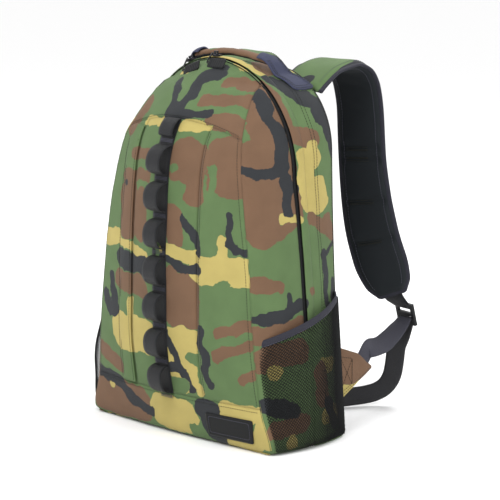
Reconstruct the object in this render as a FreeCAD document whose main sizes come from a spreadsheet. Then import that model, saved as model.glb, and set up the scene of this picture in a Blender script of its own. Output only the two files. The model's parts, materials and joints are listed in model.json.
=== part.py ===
import FreeCAD, Part
import math
import os
import Sketcher

# Padded backpack-style gig bag, millimetres. +Z is up, the front faces -Y, the shoulder straps are on +Y.
# The origin is on the floor, midway across, in the plane of the main zip.

V = FreeCAD.Vector
X_AXIS = V(1, 0, 0)
Y_AXIS = V(0, 1, 0)
Z_AXIS = V(0, 0, 1)
FAR = 1000.0  # reach of a trimming box, larger than the bag

doc = FreeCAD.newDocument("gig_bag")
sheet = doc.addObject("Spreadsheet::Sheet", "Sizes")

SIZES = {
    # shell
    "wall": 2.0,  # fabric with its lining
    "base_wall": 2.5,
    "arch_radius": 137.0,  # outside of the main zip's round top
    "arch_centre": 336.0,  # height of that circle's centre
    "side_base_half": 165.0,  # half width at the floor, in the zip plane
    "side_bulge": 5.0,
    "rear_depth": 69.0,
    "rear_base_half": 154.0,
    "rear_mid_half": 139.0,
    "rear_top_half": 132.0,
    "rear_top": 462.0,
    "rear_corner": 100.0,
    "band_height": 57.0,
    "fold_height": 190.0,  # where the opened front bends
    "yoke_side": 383.0,
    "yoke_rise": 21.0,
    "joint_gap": 0.6,
    # main zip
    "tape_half": 5.0,
    "tape_thick": 1.5,
    "coil_gap": 0.5,
    "coil_width": 2.0,
    "coil_height": 1.2,
    "zip_bottom": 150.0,
    "piping_start": 5.5,
    "piping_end": 9.0,
    "piping_height": 2.5,
    "slider_length": 13.0,
    "slider_width": 9.0,
    "slider_plate": 1.4,
    "slider_lift": 3.6,
    "slider_post": 0.7,
    "bridge_height": 5.0,
    "bridge_width": 2.4,
    "bridge_half": 3.1,
    "bridge_wall": 1.2,
    "pull_length": 27.0,
    "pull_width": 8.0,
    "pull_thick": 2.6,
    "pull_bar": 1.6,  # the bar of the pull that lies under its slider's bridge
    "pull_lift": 0.6,
    "slider_left_angle": 21.0,
    "slider_right_angle": 2.0,
    # back
    "back_foam_thick": 8.0,
    "back_inset": 19.0,
    "back_pad_top": 422.0,
    "skin": 1.5,
    # inside
    "sleeve_half_width": 124.0,
    "sleeve_height": 290.0,
    "sleeve_thick": 4.0,
    "sleeve_y": 50.0,
    "board_half_front": 148.0,
    "board_half_back": 132.0,
    "board_depth": 58.0,
    "board_thick": 3.0,
    "divider_thick": 2.0,
    # webbing and daisy chain
    "webbing_width": 25.0,
    "webbing_thick": 1.6,
    "loop_pitch": 46.4,
    "loop_height": 36.0,
    "loop_reach": 13.0,
    "loop_base": 58.0,
    "label_width": 74.0,
    "label_height": 30.0,
    "label_thick": 1.0,
    "label_across": 101.0,
    "label_centre": 27.0,
    # mesh pockets
    "mesh_thick": 2.0,
    "mesh_bulge": 12.0,
    "mesh_front_top": 135.0,
    "mesh_rear_top": 190.0,
    "mesh_binding": 9.0,
    # grab handle
    "grip_ring": 260.0,
    "grip_radius": 6.0,
    "grip_core": 2.5,
    "grip_half_angle": 14.25,
    "grip_y": 24.0,
    "grip_top": 479.0,
    "tab_half_width": 13.0,
    "tab_thick": 2.0,
    "tab_end_x": 92.0,
    "tab_shift": 26.0,
    # shoulder straps
    "pad_skin": 1.5,
    "pad_foam": 9.0,
    "pad_binding": 4.5,
    "root_radius": 44.0,
    "hinge_top_x": 75.0,
    "hinge_top_y": 82.0,
    "hinge_top_z": 446.0,
    "wing_x": 137.0,
    "wing_thick": 3.0,
    "wing_end_y": 127.0,
    "wing_end_z": 86.0,
    "lock_x": 106.5,
    "lock_y": 240.5,
    "lock_z": 125.0,
    "lock_turn": -10.0,
    "lock_lean": 14.0,
    "lock_width": 36.0,
    "lock_height": 30.0,
    "lock_thick": 4.0,
    "lock_bar": 4.5,
}
for row, (alias, value) in enumerate(SIZES.items(), start=1):
    sheet.set(f"A{row}", alias)
    sheet.set(f"B{row}", str(value))
    sheet.setAlias(f"B{row}", alias)
doc.recompute()

# Height, half width of the front seam, its depth in front of the zip plane, and the depth of the middle.
FRONT_STATIONS = (
    (0.0, 158.0, 67.0, 73.0),
    (8.0, 163.0, 72.0, 80.0),
    (54.0, 150.0, 76.0, 92.0),
    (140.0, 140.0, 80.0, 104.0),
    (229.0, 131.0, 78.0, 104.0),
    (282.0, 123.0, 77.0, 102.0),
    (341.0, 112.0, 72.0, 98.0),
    (372.0, 106.0, 66.0, 91.0),
    (402.0, 96.0, 50.0, 77.0),
    (422.0, 89.0, 35.0, 62.0),
    (439.0, 83.0, 19.0, 47.0),
    (448.0, 78.0, 2.0, 38.0),
    (458.0, 61.0, 1.5, 27.0),
    (466.0, 42.0, 1.0, 15.0),
    (471.5, 18.0, 0.5, 5.0),
)

# Right shoulder pad: centre (x, y, z), turn of its width about the vertical in degrees, and half width.
PAD_STATIONS = (
    (72.0, 62.0, 424.0, 0.0, 35.0),
    (73.0, 84.0, 443.0, 0.0, 35.0),
    (74.0, 110.0, 458.0, 2.0, 35.0),
    (75.0, 137.0, 462.0, 5.0, 34.0),
    (76.0, 159.0, 453.0, 8.0, 33.0),
    (77.0, 173.0, 430.0, 10.0, 32.0),
    (77.0, 180.0, 395.0, 12.0, 31.0),
    (78.0, 183.0, 340.0, 14.0, 31.0),
    (81.0, 187.0, 290.0, 17.0, 32.0),
    (86.0, 194.0, 240.0, 22.0, 33.0),
    (92.0, 204.0, 200.0, 27.0, 33.0),
    (97.0, 214.0, 170.0, 31.0, 28.0),
    (100.0, 220.0, 154.0, 33.0, 17.0),
)
# Webbing of the right strap: centre (x, y, z) and the direction of its width (x, y, z).
TONGUE_STATIONS = (
    (100.3, 220.8, 151.5, 0.84, 0.54, 0.0),
    (103.0, 228.0, 143.0, 0.93, 0.36, 0.0),
    (105.5, 236.0, 135.2, 0.98, 0.17, 0.0),
)
LOWER_STATIONS = (
    (107.0, 236.5, 117.5, 0.98, -0.17, 0.0),
    (110.0, 222.0, 110.0, 0.98, -0.1, -0.1),
    (117.0, 190.0, 98.0, 0.85, 0.15, -0.4),
    (127.0, 158.0, 91.0, 0.45, 0.5, -0.66),
    (136.8, 131.5, 89.5, 0.0, 0.78, -0.62),
)
TAIL_STATIONS = (
    (106.5, 243.5, 113.0, 0.98, -0.17, 0.0),
    (102.0, 238.0, 96.0, 0.94, 0.34, 0.0),
    (98.0, 232.0, 78.0, 0.71, 0.71, 0.0),
    (96.0, 229.0, 55.0, 0.7, 0.7, 0.1),
    (92.0, 228.0, 35.0, 0.66, 0.68, 0.3),
    (86.0, 222.0, 19.0, 0.15, 0.7, 0.72),
    (81.0, 209.0, 10.0, -0.5, 0.58, 0.65),
    (73.0, 194.0, 8.2, -0.66, 0.48, 0.58),
    (58.0, 168.0, 8.0, -0.69, 0.46, 0.56),
)


def size(alias):
    return float(sheet.get(alias))


def between(x, table, column=1):
    """Straight-line reading of a table whose first column is x, in rising order."""
    if x <= table[0][0]:
        return table[0][column]
    for low, high in zip(table, table[1:]):
        if x <= high[0]:
            share = (x - low[0]) / (high[0] - low[0])
            return low[column] + (high[column] - low[column]) * share
    return table[-1][column]


def side_half(z):
    """Half width of the zip plane's outline at height z."""
    centre = size("arch_centre")
    radius = size("arch_radius")
    if z > centre:
        return math.sqrt(max(radius**2 - (z - centre) ** 2, 1.0))
    share = z / centre
    straight = size("side_base_half") + (radius - size("side_base_half")) * share
    return straight + size("side_bulge") * (1 - (2 * share - 1) ** 2)


def polygon(points):
    return Part.makePolygon([*points, points[0]])


def prism(points, direction):
    return Part.Face(polygon(points)).extrude(direction)


def block(low, high):
    """A box from its lowest to its highest corner."""
    return Part.makeBox(high[0] - low[0], high[1] - low[1], high[2] - low[2], V(*low))


def above(z):
    return block((-FAR, -FAR, z), (FAR, FAR, FAR))


def below(z):
    return block((-FAR, -FAR, -FAR), (FAR, FAR, z))


def behind(y):
    return block((-FAR, y, -FAR), (FAR, FAR, FAR))


def in_front_of(y):
    return block((-FAR, -FAR, -FAR), (FAR, y, FAR))


def mirrored(shape):
    return shape.mirror(V(0, 0, 0), X_AXIS)


def solid_of(shape):
    """The one solid that a boolean leaves, or the compound if it leaves several."""
    cleaned = shape.removeSplitter()
    return cleaned.Solids[0] if len(cleaned.Solids) == 1 else Part.makeCompound(cleaned.Solids)


# ---------------------------------------------------------------- outlines


def zip_outline(y, grow):
    """The tombstone outline of the zip plane, moved out by grow."""
    centre = size("arch_centre")
    radius = size("arch_radius") + grow
    base = size("side_base_half") + grow
    middle = side_half(centre / 2) + grow
    cut = math.radians(14)
    top_x = radius * math.sin(cut)
    top_z = centre + radius * math.cos(cut)
    slant = math.radians(48)
    mid_x = radius * math.cos(slant)
    mid_z = centre + radius * math.sin(slant)
    floor = -grow
    edges = [
        Part.LineSegment(V(-base, y, floor), V(base, y, floor)),
        Part.Arc(V(base, y, floor), V(middle, y, centre / 2), V(radius, y, centre)),
        Part.Arc(V(radius, y, centre), V(mid_x, y, mid_z), V(top_x, y, top_z)),
        Part.Arc(V(top_x, y, top_z), V(0, y, centre + radius), V(-top_x, y, top_z)),
        Part.Arc(V(-top_x, y, top_z), V(-mid_x, y, mid_z), V(-radius, y, centre)),
        Part.Arc(V(-radius, y, centre), V(-middle, y, centre / 2), V(-base, y, floor)),
    ]
    return Part.Wire([edge.toShape() for edge in edges])


def rear_outline(y, grow):
    """The back panel's outline, a tapered plate with round top corners, moved out by grow."""
    base = size("rear_base_half") + grow
    top = size("rear_top") + grow
    radius = size("rear_corner") + grow
    half = size("rear_top_half") + grow
    corner_z = top - radius
    corner_x = half - radius
    slant = math.radians(45)
    mid_x = corner_x + radius * math.cos(slant)
    mid_z = corner_z + radius * math.sin(slant)
    floor = -grow
    side_mid = size("rear_mid_half") + grow
    edges = [
        Part.LineSegment(V(-base, y, floor), V(base, y, floor)),
        Part.Arc(V(base, y, floor), V(side_mid, y, corner_z / 2), V(half, y, corner_z)),
        Part.Arc(V(half, y, corner_z), V(mid_x, y, mid_z), V(corner_x, y, top)),
        Part.LineSegment(V(corner_x, y, top), V(-corner_x, y, top)),
        Part.Arc(V(-corner_x, y, top), V(-mid_x, y, mid_z), V(-half, y, corner_z)),
        Part.Arc(V(-half, y, corner_z), V(-side_mid, y, corner_z / 2), V(-base, y, floor)),
    ]
    return Part.Wire([edge.toShape() for edge in edges])


def rear_solid(grow):
    """The rear half of the bag, from the zip plane to the back panel, as one solid."""
    return Part.makeLoft([zip_outline(0, grow), rear_outline(size("rear_depth"), grow)], True, True)


def rear_ring(inner, outer, y_low, y_high):
    """The wall between two sizes of the rear half, cut to a range of y."""
    wall = rear_solid(outer).cut(rear_solid(inner))
    return wall.common(block((-FAR, y_low, -FAR), (FAR, y_high, FAR)))


def front_slice(z, shrink, back_share):
    """Level slice of the front half. back_share 1 reaches the zip plane, 0 stops at the two front seams."""
    lift = min(shrink, 471.5 - z)
    side = side_half(z + lift) - shrink
    seam = between(z + lift, FRONT_STATIONS, 1) - shrink
    depth = between(z + lift, FRONT_STATIONS, 2)
    middle = between(z + lift, FRONT_STATIONS, 3) - shrink
    depth = max(depth - shrink, 0.4)
    middle = max(middle, depth + 0.6)
    side = max(side, 4.0)
    seam = min(max(seam, 3.0), side - 0.3)
    back_x = seam + (side - seam) * back_share
    back_y = -depth * (1 - back_share)
    front = Part.Arc(V(-seam, -depth, z), V(0, -middle, z), V(seam, -depth, z)).toShape()
    if back_share == 0:
        return Part.Wire([front, Part.LineSegment(V(seam, -depth, z), V(-seam, -depth, z)).toShape()])
    edges = [
        front,
        Part.LineSegment(V(seam, -depth, z), V(back_x, back_y, z)).toShape(),
        Part.LineSegment(V(back_x, back_y, z), V(-back_x, back_y, z)).toShape(),
        Part.LineSegment(V(-back_x, back_y, z), V(-seam, -depth, z)).toShape(),
    ]
    return Part.Wire(edges)


def front_solid(shrink, back_share=1):
    slices = []
    for station in FRONT_STATIONS:
        height = station[0] if shrink == 0 else min(station[0], FRONT_STATIONS[-1][0] - shrink)
        if slices and height <= slices[-1][0] + 0.5:
            continue
        slices.append((height, front_slice(height, shrink, back_share)))
    return Part.makeLoft([wire for _, wire in slices], True, True)


def front_depth(z):
    """Depth of the middle of the front face at height z."""
    return between(z, FRONT_STATIONS, 3)


def band(centres, widths, halves, low, high):
    """A flat strip through a row of centres: from low to high off its middle, with its own width direction each."""
    sections = []
    for index, centre in enumerate(centres):
        before = centres[max(index - 1, 0)]
        after = centres[min(index + 1, len(centres) - 1)]
        along = (after - before).normalize()
        across = (widths[index] - along * widths[index].dot(along)).normalize()
        normal = across.cross(along)
        half = halves[index]
        corners = [
            centre - across * half + normal * low,
            centre + across * half + normal * low,
            centre + across * half + normal * high,
            centre - across * half + normal * high,
        ]
        sections.append(polygon(corners))
    return Part.makeLoft(sections, True, True)


# ---------------------------------------------------------------- document objects


NODES = []


def feature(name, shape, placement=None):
    """A sub-part whose freeform shape is worked out from the sheet here."""
    part = doc.addObject("Part::Feature", name)
    part.Label = name
    part.Shape = solid_of(shape)
    if placement is not None:
        part.Placement = placement
    NODES.append(part)
    return part


def new_body(name):
    body = doc.addObject("PartDesign::Body", name)
    body.Label = name
    NODES.append(body)
    return body


def plane_of(body, role):
    return next(item for item in body.Origin.OriginFeatures if item.Role == role)


def sketch_on(body, name, role):
    sketch = body.newObject("Sketcher::SketchObject", name)
    sketch.AttachmentSupport = [(plane_of(body, role), "")]
    sketch.MapMode = "FlatFace"
    return sketch


def fixed_outline(sketch, corners):
    """A closed outline of straight lines. Each corner is (x, y), a number or an expression of the sheet."""
    count = len(corners)
    start = [V(10.0 * (i + 1), 7.0 * (i % 3), 0) for i in range(count)]
    for i in range(count):
        sketch.addGeometry(Part.LineSegment(start[i], start[(i + 1) % count]), False)
    for i in range(count):
        sketch.addConstraint(Sketcher.Constraint("Coincident", i, 2, (i + 1) % count, 1))
    for i, corner in enumerate(corners):
        for kind, target in zip(("DistanceX", "DistanceY"), corner):
            index = sketch.addConstraint(Sketcher.Constraint(kind, -1, 1, i, 1, 1.0))
            sketch.setExpression(f"Constraints[{index}]", str(target))
    return sketch


def pad(body, sketch, name, length, midplane=False):
    made = body.newObject("PartDesign::Pad", name)
    made.Profile = sketch
    made.setExpression("Length", length)
    made.Midplane = midplane
    sketch.Visibility = False
    body.Tip = made
    return made


def pocket_through(body, sketch, name, length):
    made = body.newObject("PartDesign::Pocket", name)
    made.Profile = sketch
    made.setExpression("Length", length)
    made.Midplane = True
    body.Tip = made
    return made


# ---------------------------------------------------------------- bag shell


def build_shell():
    wall = size("wall")
    floor = size("base_wall")
    fold = size("fold_height")
    gap = size("joint_gap")
    tape = size("tape_half")
    band = size("band_height")

    rear = rear_ring(-wall, 0, tape, size("rear_depth")).common(above(floor))
    feature("rear_gusset", rear)
    front_outer = front_solid(0)
    front_wall = front_outer.cut(front_solid(wall)).common(in_front_of(-tape)).common(above(floor))
    lens = front_solid(0, back_share=0)
    sides = front_wall.cut(lens)
    face = front_wall.common(lens)

    base = rear_solid(0).common(below(floor)).common(above(0)).common(behind(0))
    base = base.fuse(front_outer.common(below(floor)))
    feature("base_panel", base)
    feature("front_band", face.common(below(band)))
    feature("front_panel_lower", face.common(above(band)).common(below(fold)))
    lower_sides = sides.common(below(fold))
    right_half = block((0, -FAR, -FAR), (FAR, FAR, FAR))
    lower_right = lower_sides.common(right_half)
    feature("front_gusset_lower_right", lower_right)
    feature("front_gusset_lower_left", mirrored(lower_right))

    upper_face = face.common(above(fold + gap))
    seam_side = size("yoke_side")
    seam_top = seam_side + size("yoke_rise")
    reach = 120.0
    yoke_line = Part.Arc(V(-reach, -FAR, seam_side), V(0, -FAR, seam_top), V(reach, -FAR, seam_side))
    yoke_edges = [
        yoke_line.toShape(),
        Part.LineSegment(V(reach, -FAR, seam_side), V(reach, -FAR, FAR)).toShape(),
        Part.LineSegment(V(reach, -FAR, FAR), V(-reach, -FAR, FAR)).toShape(),
        Part.LineSegment(V(-reach, -FAR, FAR), V(-reach, -FAR, seam_side)).toShape(),
    ]
    yoke_zone = Part.Face(Part.Wire(yoke_edges)).extrude(V(0, 2 * FAR, 0))
    feature("front_panel", upper_face.cut(yoke_zone))
    feature("front_yoke", upper_face.common(yoke_zone))
    upper_right = sides.common(above(fold + gap)).common(right_half).common(below(448.0))
    feature("front_gusset_right", upper_right)
    feature("front_gusset_left", mirrored(upper_right))


def build_dividers():
    """The inside wall that closes the front pocket from the main compartment, lower and upper."""
    thick = size("divider_thick")
    tape = size("tape_half")
    wall = size("wall")
    inside = Part.Face(zip_outline(-tape - thick, -wall - 3.5)).extrude(V(0, thick, 0))
    fold = size("fold_height")
    feature("divider_lower", inside.common(below(fold)).common(above(size("base_wall"))))
    feature("divider_upper", inside.common(above(fold + size("joint_gap"))).common(front_solid(wall)))


def build_zip():
    wall = size("wall")
    tape = size("tape_half")
    gap = size("coil_gap")
    thick = size("tape_thick")
    fold = size("fold_height") + size("joint_gap")

    def strip(y_low, y_high, inner, outer, z_low):
        wide = Part.Face(zip_outline(y_low, outer)).extrude(V(0, y_high - y_low, 0))
        hole = Part.Face(zip_outline(y_low - 1, inner)).extrude(V(0, y_high - y_low + 2, 0))
        return wide.cut(hole).common(above(z_low))

    base = -wall
    coil_end = gap + size("coil_width")
    rear = strip(gap, tape, base, base + thick, size("zip_bottom"))
    rear_coil = strip(gap, coil_end, base + thick, base + thick + size("coil_height"), size("zip_bottom"))
    feature("zip_tape_rear", rear.fuse(rear_coil))
    front = strip(-tape, -gap, base, base + thick, fold)
    front_coil = strip(-coil_end, -gap, base + thick, base + thick + size("coil_height"), fold)
    feature("zip_tape_front", front.fuse(front_coil))
    bead = rear_ring(0, size("piping_height"), size("piping_start"), size("piping_end"))
    feature("zip_flap", bead.common(above(size("zip_bottom"))))


def slider(name, angle_cell):
    """A zip slider: two plates joined by a thin post between the coils, with an arched bridge for the pull."""
    body = new_body(name)
    half = "Sizes.slider_width / 2"
    post = "Sizes.slider_post / 2"
    low = "-Sizes.wall - Sizes.slider_plate - 1"
    inner_low = "-Sizes.wall - 1"
    inner_high = "-Sizes.wall + Sizes.slider_lift + 1"
    high = "-Sizes.wall + Sizes.slider_lift + 1 + Sizes.slider_plate"
    outline = [
        (f"-({half})", low),
        (half, low),
        (half, inner_low),
        (post, inner_low),
        (post, inner_high),
        (half, inner_high),
        (half, high),
        (f"-({half})", high),
        (f"-({half})", inner_high),
        (f"-({post})", inner_high),
        (f"-({post})", inner_low),
        (f"-({half})", inner_low),
    ]
    sketch = fixed_outline(sketch_on(body, name + "_profile", "YZ_Plane"), outline)
    pad(body, sketch, name + "_pad", "Sizes.slider_length", midplane=True)
    doc.recompute()
    legs = "Sizes.bridge_half"
    gap = "Sizes.bridge_half - Sizes.bridge_wall"
    sole = high + " - 0.2"
    roof = high + " + Sizes.bridge_height"
    ceiling = roof + " - Sizes.bridge_wall"
    arch = [
        (f"-({legs})", sole),
        (f"-({legs})", roof),
        (legs, roof),
        (legs, sole),
        (gap, sole),
        (gap, ceiling),
        (f"-({gap})", ceiling),
        (f"-({gap})", sole),
    ]
    bridge = fixed_outline(sketch_on(body, name + "_arch", "XZ_Plane"), arch)
    pad(body, bridge, name + "_bridge", "Sizes.bridge_width", midplane=True)
    place_on_arch(body, angle_cell, 0, 0)
    return body


def place_on_arch(body, angle_cell, along, lift):
    """Stands a piece on the arch of the zip, turned by the angle in a cell to the left of the top."""
    angle = -size(angle_cell)
    turn = FreeCAD.Rotation(Y_AXIS, angle)
    radius = size("arch_radius") + lift
    at = V(0, 0, size("arch_centre")) + turn.multVec(V(along, 0, radius))
    body.Placement = FreeCAD.Placement(at, turn)


def pull_tab(name, angle_cell):
    """A flat moulded pull along the track, whose eye takes in one leg of its slider's bridge."""
    body = new_body(name)
    half = "Sizes.pull_width / 2"
    outline = [
        ("Sizes.pull_bar / 2", f"-({half})"),
        ("-Sizes.pull_length", f"-({half})"),
        ("-Sizes.pull_length", half),
        ("Sizes.pull_bar / 2", half),
    ]
    sketch = fixed_outline(sketch_on(body, name + "_profile", "XY_Plane"), outline)
    made = pad(body, sketch, name + "_pad", "Sizes.pull_thick")
    doc.recompute()
    eye_half = "Sizes.bridge_width / 2 + 0.6"
    eye = [
        ("-Sizes.pull_bar / 2", f"-({eye_half})"),
        ("-Sizes.pull_bar / 2", eye_half),
        ("-Sizes.bridge_half * 2.5", eye_half),
        ("-Sizes.bridge_half * 2.5", f"-({eye_half})"),
    ]
    hole = fixed_outline(sketch_on(body, name + "_eye", "XY_Plane"), eye)
    before = made.Shape.Volume
    cut = pocket_through(body, hole, name + "_pocket", "Sizes.pull_thick * 4")
    doc.recompute()
    if cut.Shape.Volume > before - 10:
        raise RuntimeError(name + ": the eye was not cut")
    lift = -size("wall") + size("slider_lift") + 1 + size("slider_plate") + size("pull_lift")
    place_on_arch(body, angle_cell, 0, lift)
    return body


# ---------------------------------------------------------------- back and inside


def build_back():
    depth = size("rear_depth")
    wall = size("wall")
    inset = -size("back_inset")
    foam = size("back_foam_thick")
    skin = size("skin")
    floor_cut = above(0)
    feature("back_panel", Part.Face(rear_outline(depth, 0)).extrude(V(0, wall, 0)).common(floor_cut))
    lift = above(size("back_inset")).common(below(size("back_pad_top")))
    pad_face = Part.Face(rear_outline(depth + wall, inset))
    feature("back_foam", pad_face.extrude(V(0, foam, 0)).common(lift))
    skin_face = Part.Face(rear_outline(depth + wall + foam, inset))
    feature("back_mesh", skin_face.extrude(V(0, skin, 0)).common(lift))


def build_base_board():
    body = new_body("base_board")
    outline = [
        ("-Sizes.board_half_front", "0"),
        ("Sizes.board_half_front", "0"),
        ("Sizes.board_half_back", "Sizes.board_depth"),
        ("-Sizes.board_half_back", "Sizes.board_depth"),
    ]
    sketch = fixed_outline(sketch_on(body, "board_outline", "XY_Plane"), outline)
    pad(body, sketch, "board_pad", "Sizes.board_thick")
    body.Placement = FreeCAD.Placement(V(0, 3, size("base_wall")), FreeCAD.Rotation())


def build_sleeve():
    body = new_body("laptop_sleeve")
    outline = [
        ("-Sizes.sleeve_half_width", "0"),
        ("Sizes.sleeve_half_width", "0"),
        ("Sizes.sleeve_half_width - 4", "Sizes.sleeve_height"),
        ("-Sizes.sleeve_half_width + 4", "Sizes.sleeve_height"),
    ]
    sketch = fixed_outline(sketch_on(body, "sleeve_outline", "XZ_Plane"), outline)
    pad(body, sketch, "sleeve_pad", "Sizes.sleeve_thick")
    at = V(0, size("sleeve_y") + size("sleeve_thick"), size("base_wall") + size("board_thick") + 0.5)
    body.Placement = FreeCAD.Placement(at, FreeCAD.Rotation())


# ---------------------------------------------------------------- front trim


def daisy_part(name, first, last, z_low, z_high):
    """The flat webbing with its sewn loops, following the middle of the front face."""
    half = size("webbing_width") / 2
    thick = size("webbing_thick")
    off = 0.3
    heights = [z_low]
    for station in FRONT_STATIONS:
        if z_low < station[0] < z_high:
            heights.append(station[0])
    heights.append(z_high)
    front = [V(-half, -front_depth(z) - off - thick, z) for z in heights]
    back = [V(-half, -front_depth(z) - off, z) for z in reversed(heights)]
    strip = prism(front + back, V(2 * half, 0, 0))
    shape = strip
    reach = size("loop_reach")
    tall = size("loop_height")
    for index in range(first, last + 1):
        bottom = size("loop_base") + index * size("loop_pitch")
        height = min(tall, z_high - 1.5 - bottom)
        middle = bottom + height / 2
        outer = loop_outline(bottom, middle, height, reach, half)
        inner = loop_outline(bottom + thick, middle, height - 2 * thick, reach - thick, half + 1)
        shape = shape.fuse(outer.cut(inner).cut(strip))
    feature(name, shape.cut(front_solid(0)))


def loop_outline(bottom, middle, height, reach, half):
    """One loop's filled half-round profile in the YZ plane, spread across the webbing's width."""
    seat = -front_depth(middle) - 0.3
    start = V(-half, -front_depth(bottom) - 0.3, bottom)
    end = V(-half, -front_depth(bottom + height) - 0.3, bottom + height)
    lower = V(-half, seat - reach * 0.78, bottom + height * 0.16)
    upper = V(-half, seat - reach * 0.78, bottom + height * 0.84)
    crown = V(-half, seat - reach, middle)
    curve = Part.BSplineCurve()
    curve.interpolate([start, lower, crown, upper, end])
    face = Part.Face(Part.Wire([curve.toShape(), Part.LineSegment(end, start).toShape()]))
    return face.extrude(V(2 * half, 0, 0))


def build_daisy_chain():
    fold = size("fold_height")
    seam_top = size("yoke_side") + size("yoke_rise")
    daisy_part("daisy_chain_lower", 0, 2, size("band_height"), fold - 1.5)
    daisy_part("daisy_chain_upper", 3, 7, fold + 1.5, seam_top)


def build_label():
    label = doc.addObject("Part::Box", "label")
    label.Label = "label"
    label.setExpression("Length", "Sizes.label_width")
    label.setExpression("Width", "Sizes.label_thick")
    label.setExpression("Height", "Sizes.label_height")
    across = size("label_across")
    low = size("label_centre") - size("label_height") / 2
    half = size("label_width") / 2

    def face_y(x, z):
        seam = between(z, FRONT_STATIONS, 1)
        depth = between(z, FRONT_STATIONS, 2)
        return -depth - (front_depth(z) - depth) * (1 - (x / seam) ** 2)

    heights = [low + size("label_height") * share for share in (0.0, 0.5, 1.0)]
    left_y = min(face_y(across - half, z) for z in heights)
    right_y = min(face_y(across + half, z) for z in heights)
    turn = math.degrees(math.atan2(right_y - left_y, 2 * half))
    corner = V(across - half, left_y - size("label_thick") - 0.9, low)
    label.Placement = FreeCAD.Placement(corner, FreeCAD.Rotation(Z_AXIS, turn))
    NODES.append(label)


# ---------------------------------------------------------------- mesh pockets


def pocket_slice(z, bulge, thick):
    """Level slice of one pocket's mesh: a thin crescent round the side of the bag."""
    seam = between(z, FRONT_STATIONS, 1)
    depth = between(z, FRONT_STATIONS, 2)
    taper = min(z / ((size("rear_top") - size("rear_corner")) / 2), 1.0)
    rear = size("rear_base_half") + (size("rear_mid_half") - size("rear_base_half")) * taper
    side = side_half(z)
    rear_y = size("rear_depth") - 1.0
    outer = (V(seam + 3 + thick, -depth + 6, z), V(side + bulge, 4, z), V(rear + 4 + thick, rear_y, z))
    inner = (V(seam + 3, -depth + 6, z), V(side + bulge - thick, 4, z), V(rear + 4, rear_y, z))
    edges = [
        Part.Arc(*outer).toShape(),
        Part.LineSegment(outer[2], inner[2]).toShape(),
        Part.Arc(inner[2], inner[1], inner[0]).toShape(),
        Part.LineSegment(inner[0], outer[0]).toShape(),
    ]
    return Part.Wire(edges)


def slanted_top(lift):
    """Everything below the pocket's sloping top edge, raised by lift."""
    front_y = -90.0
    rear_y = 80.0
    front_z = size("mesh_front_top") + lift
    rear_z = size("mesh_rear_top") + lift
    corners = [V(-FAR, front_y, -10), V(-FAR, rear_y, -10), V(-FAR, rear_y, rear_z), V(-FAR, front_y, front_z)]
    return prism(corners, V(2 * FAR, 0, 0))


def build_mesh_pockets():
    bulge = size("mesh_bulge")
    thick = size("mesh_thick")
    rows = ((3.0, 5.0), (14.0, bulge * 0.8), (60.0, bulge), (130.0, bulge), (200.0, bulge * 0.75))
    wall = Part.makeLoft([pocket_slice(z, out, thick) for z, out in rows], True, True)
    binding_rows = [(z, out + 1.0) for z, out in rows]
    binding = Part.makeLoft([pocket_slice(z, out, thick + 1.2) for z, out in binding_rows], True, True)
    drop = -size("mesh_binding")
    mesh = wall.common(slanted_top(drop))
    hem = binding.common(slanted_top(0)).cut(slanted_top(drop + 0.1))
    hem = hem.cut(front_solid(0)).cut(rear_solid(0))
    mesh = mesh.cut(front_solid(0)).cut(rear_solid(0))
    feature("mesh_pocket_right", mesh)
    feature("mesh_pocket_left", mirrored(mesh))
    feature("pocket_binding_right", hem)
    feature("pocket_binding_left", mirrored(hem))


# ---------------------------------------------------------------- grab handle


def build_handle():
    """A padded grip round a webbing core, between two sewn tabs on top of the rear gusset."""
    rings = {}
    for name, radius in (("grip_outer", "grip_radius"), ("grip_bore", "grip_core"), ("handle_core", "grip_core")):
        ring = doc.addObject("Part::Torus", name)
        ring.setExpression("Radius1", "Sizes.grip_ring")
        ring.setExpression("Radius2", "Sizes." + radius)
        ring.setExpression("Angle3", "Sizes.grip_half_angle * 2")
        rings[name] = ring
    grip = doc.addObject("Part::Cut", "handle_grip")
    grip.Label = "handle_grip"
    grip.Base = rings["grip_outer"]
    grip.Tool = rings["grip_bore"]
    rings["handle_core"].Label = "handle_core"
    spread = size("grip_half_angle")
    upright = FreeCAD.Rotation(X_AXIS, 90).multiply(FreeCAD.Rotation(Z_AXIS, 90 - spread))
    place = FreeCAD.Placement(V(0, size("grip_y"), size("grip_top") - size("grip_ring")), upright)
    grip.Placement = place
    rings["handle_core"].Placement = place
    NODES.extend([grip, rings["handle_core"]])

    end_x = size("grip_ring") * math.sin(math.radians(spread)) + 1.5
    half = size("tab_half_width")
    thick = size("tab_thick")
    y = size("grip_y")
    foot_y = y + size("tab_shift")
    patch = rear_ring(0.2, 0.2 + thick, size("piping_end") + 0.5, foot_y + half + 1)
    taper = prism(
        [V(end_x, y - half + 1, 0), V(size("tab_end_x"), foot_y - half - 1, 0),
         V(size("tab_end_x"), foot_y + half + 1, 0), V(end_x, y + half + 2, 0)],
        V(0, 0, FAR),
    )
    stub_top = size("grip_top") - size("grip_ring") * (1 - math.cos(math.radians(spread)))
    radius = size("grip_radius") - 0.5
    stub = Part.makeCylinder(radius, 20.0, V(end_x, y, stub_top), V(0.62, 0, -0.78))
    stub = stub.common(block((end_x, -FAR, 0), (FAR, FAR, FAR))).cut(rear_solid(0.2))
    tab = patch.common(taper).common(above(400)).fuse(stub)
    feature("handle_tab_right", tab)
    feature("handle_tab_left", mirrored(tab))


# ---------------------------------------------------------------- shoulder straps


def hinge_line():
    top = V(size("hinge_top_x"), size("hinge_top_y"), size("hinge_top_z"))
    low = V(size("wing_x"), size("wing_end_y"), size("wing_end_z"))
    return top, low


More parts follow.
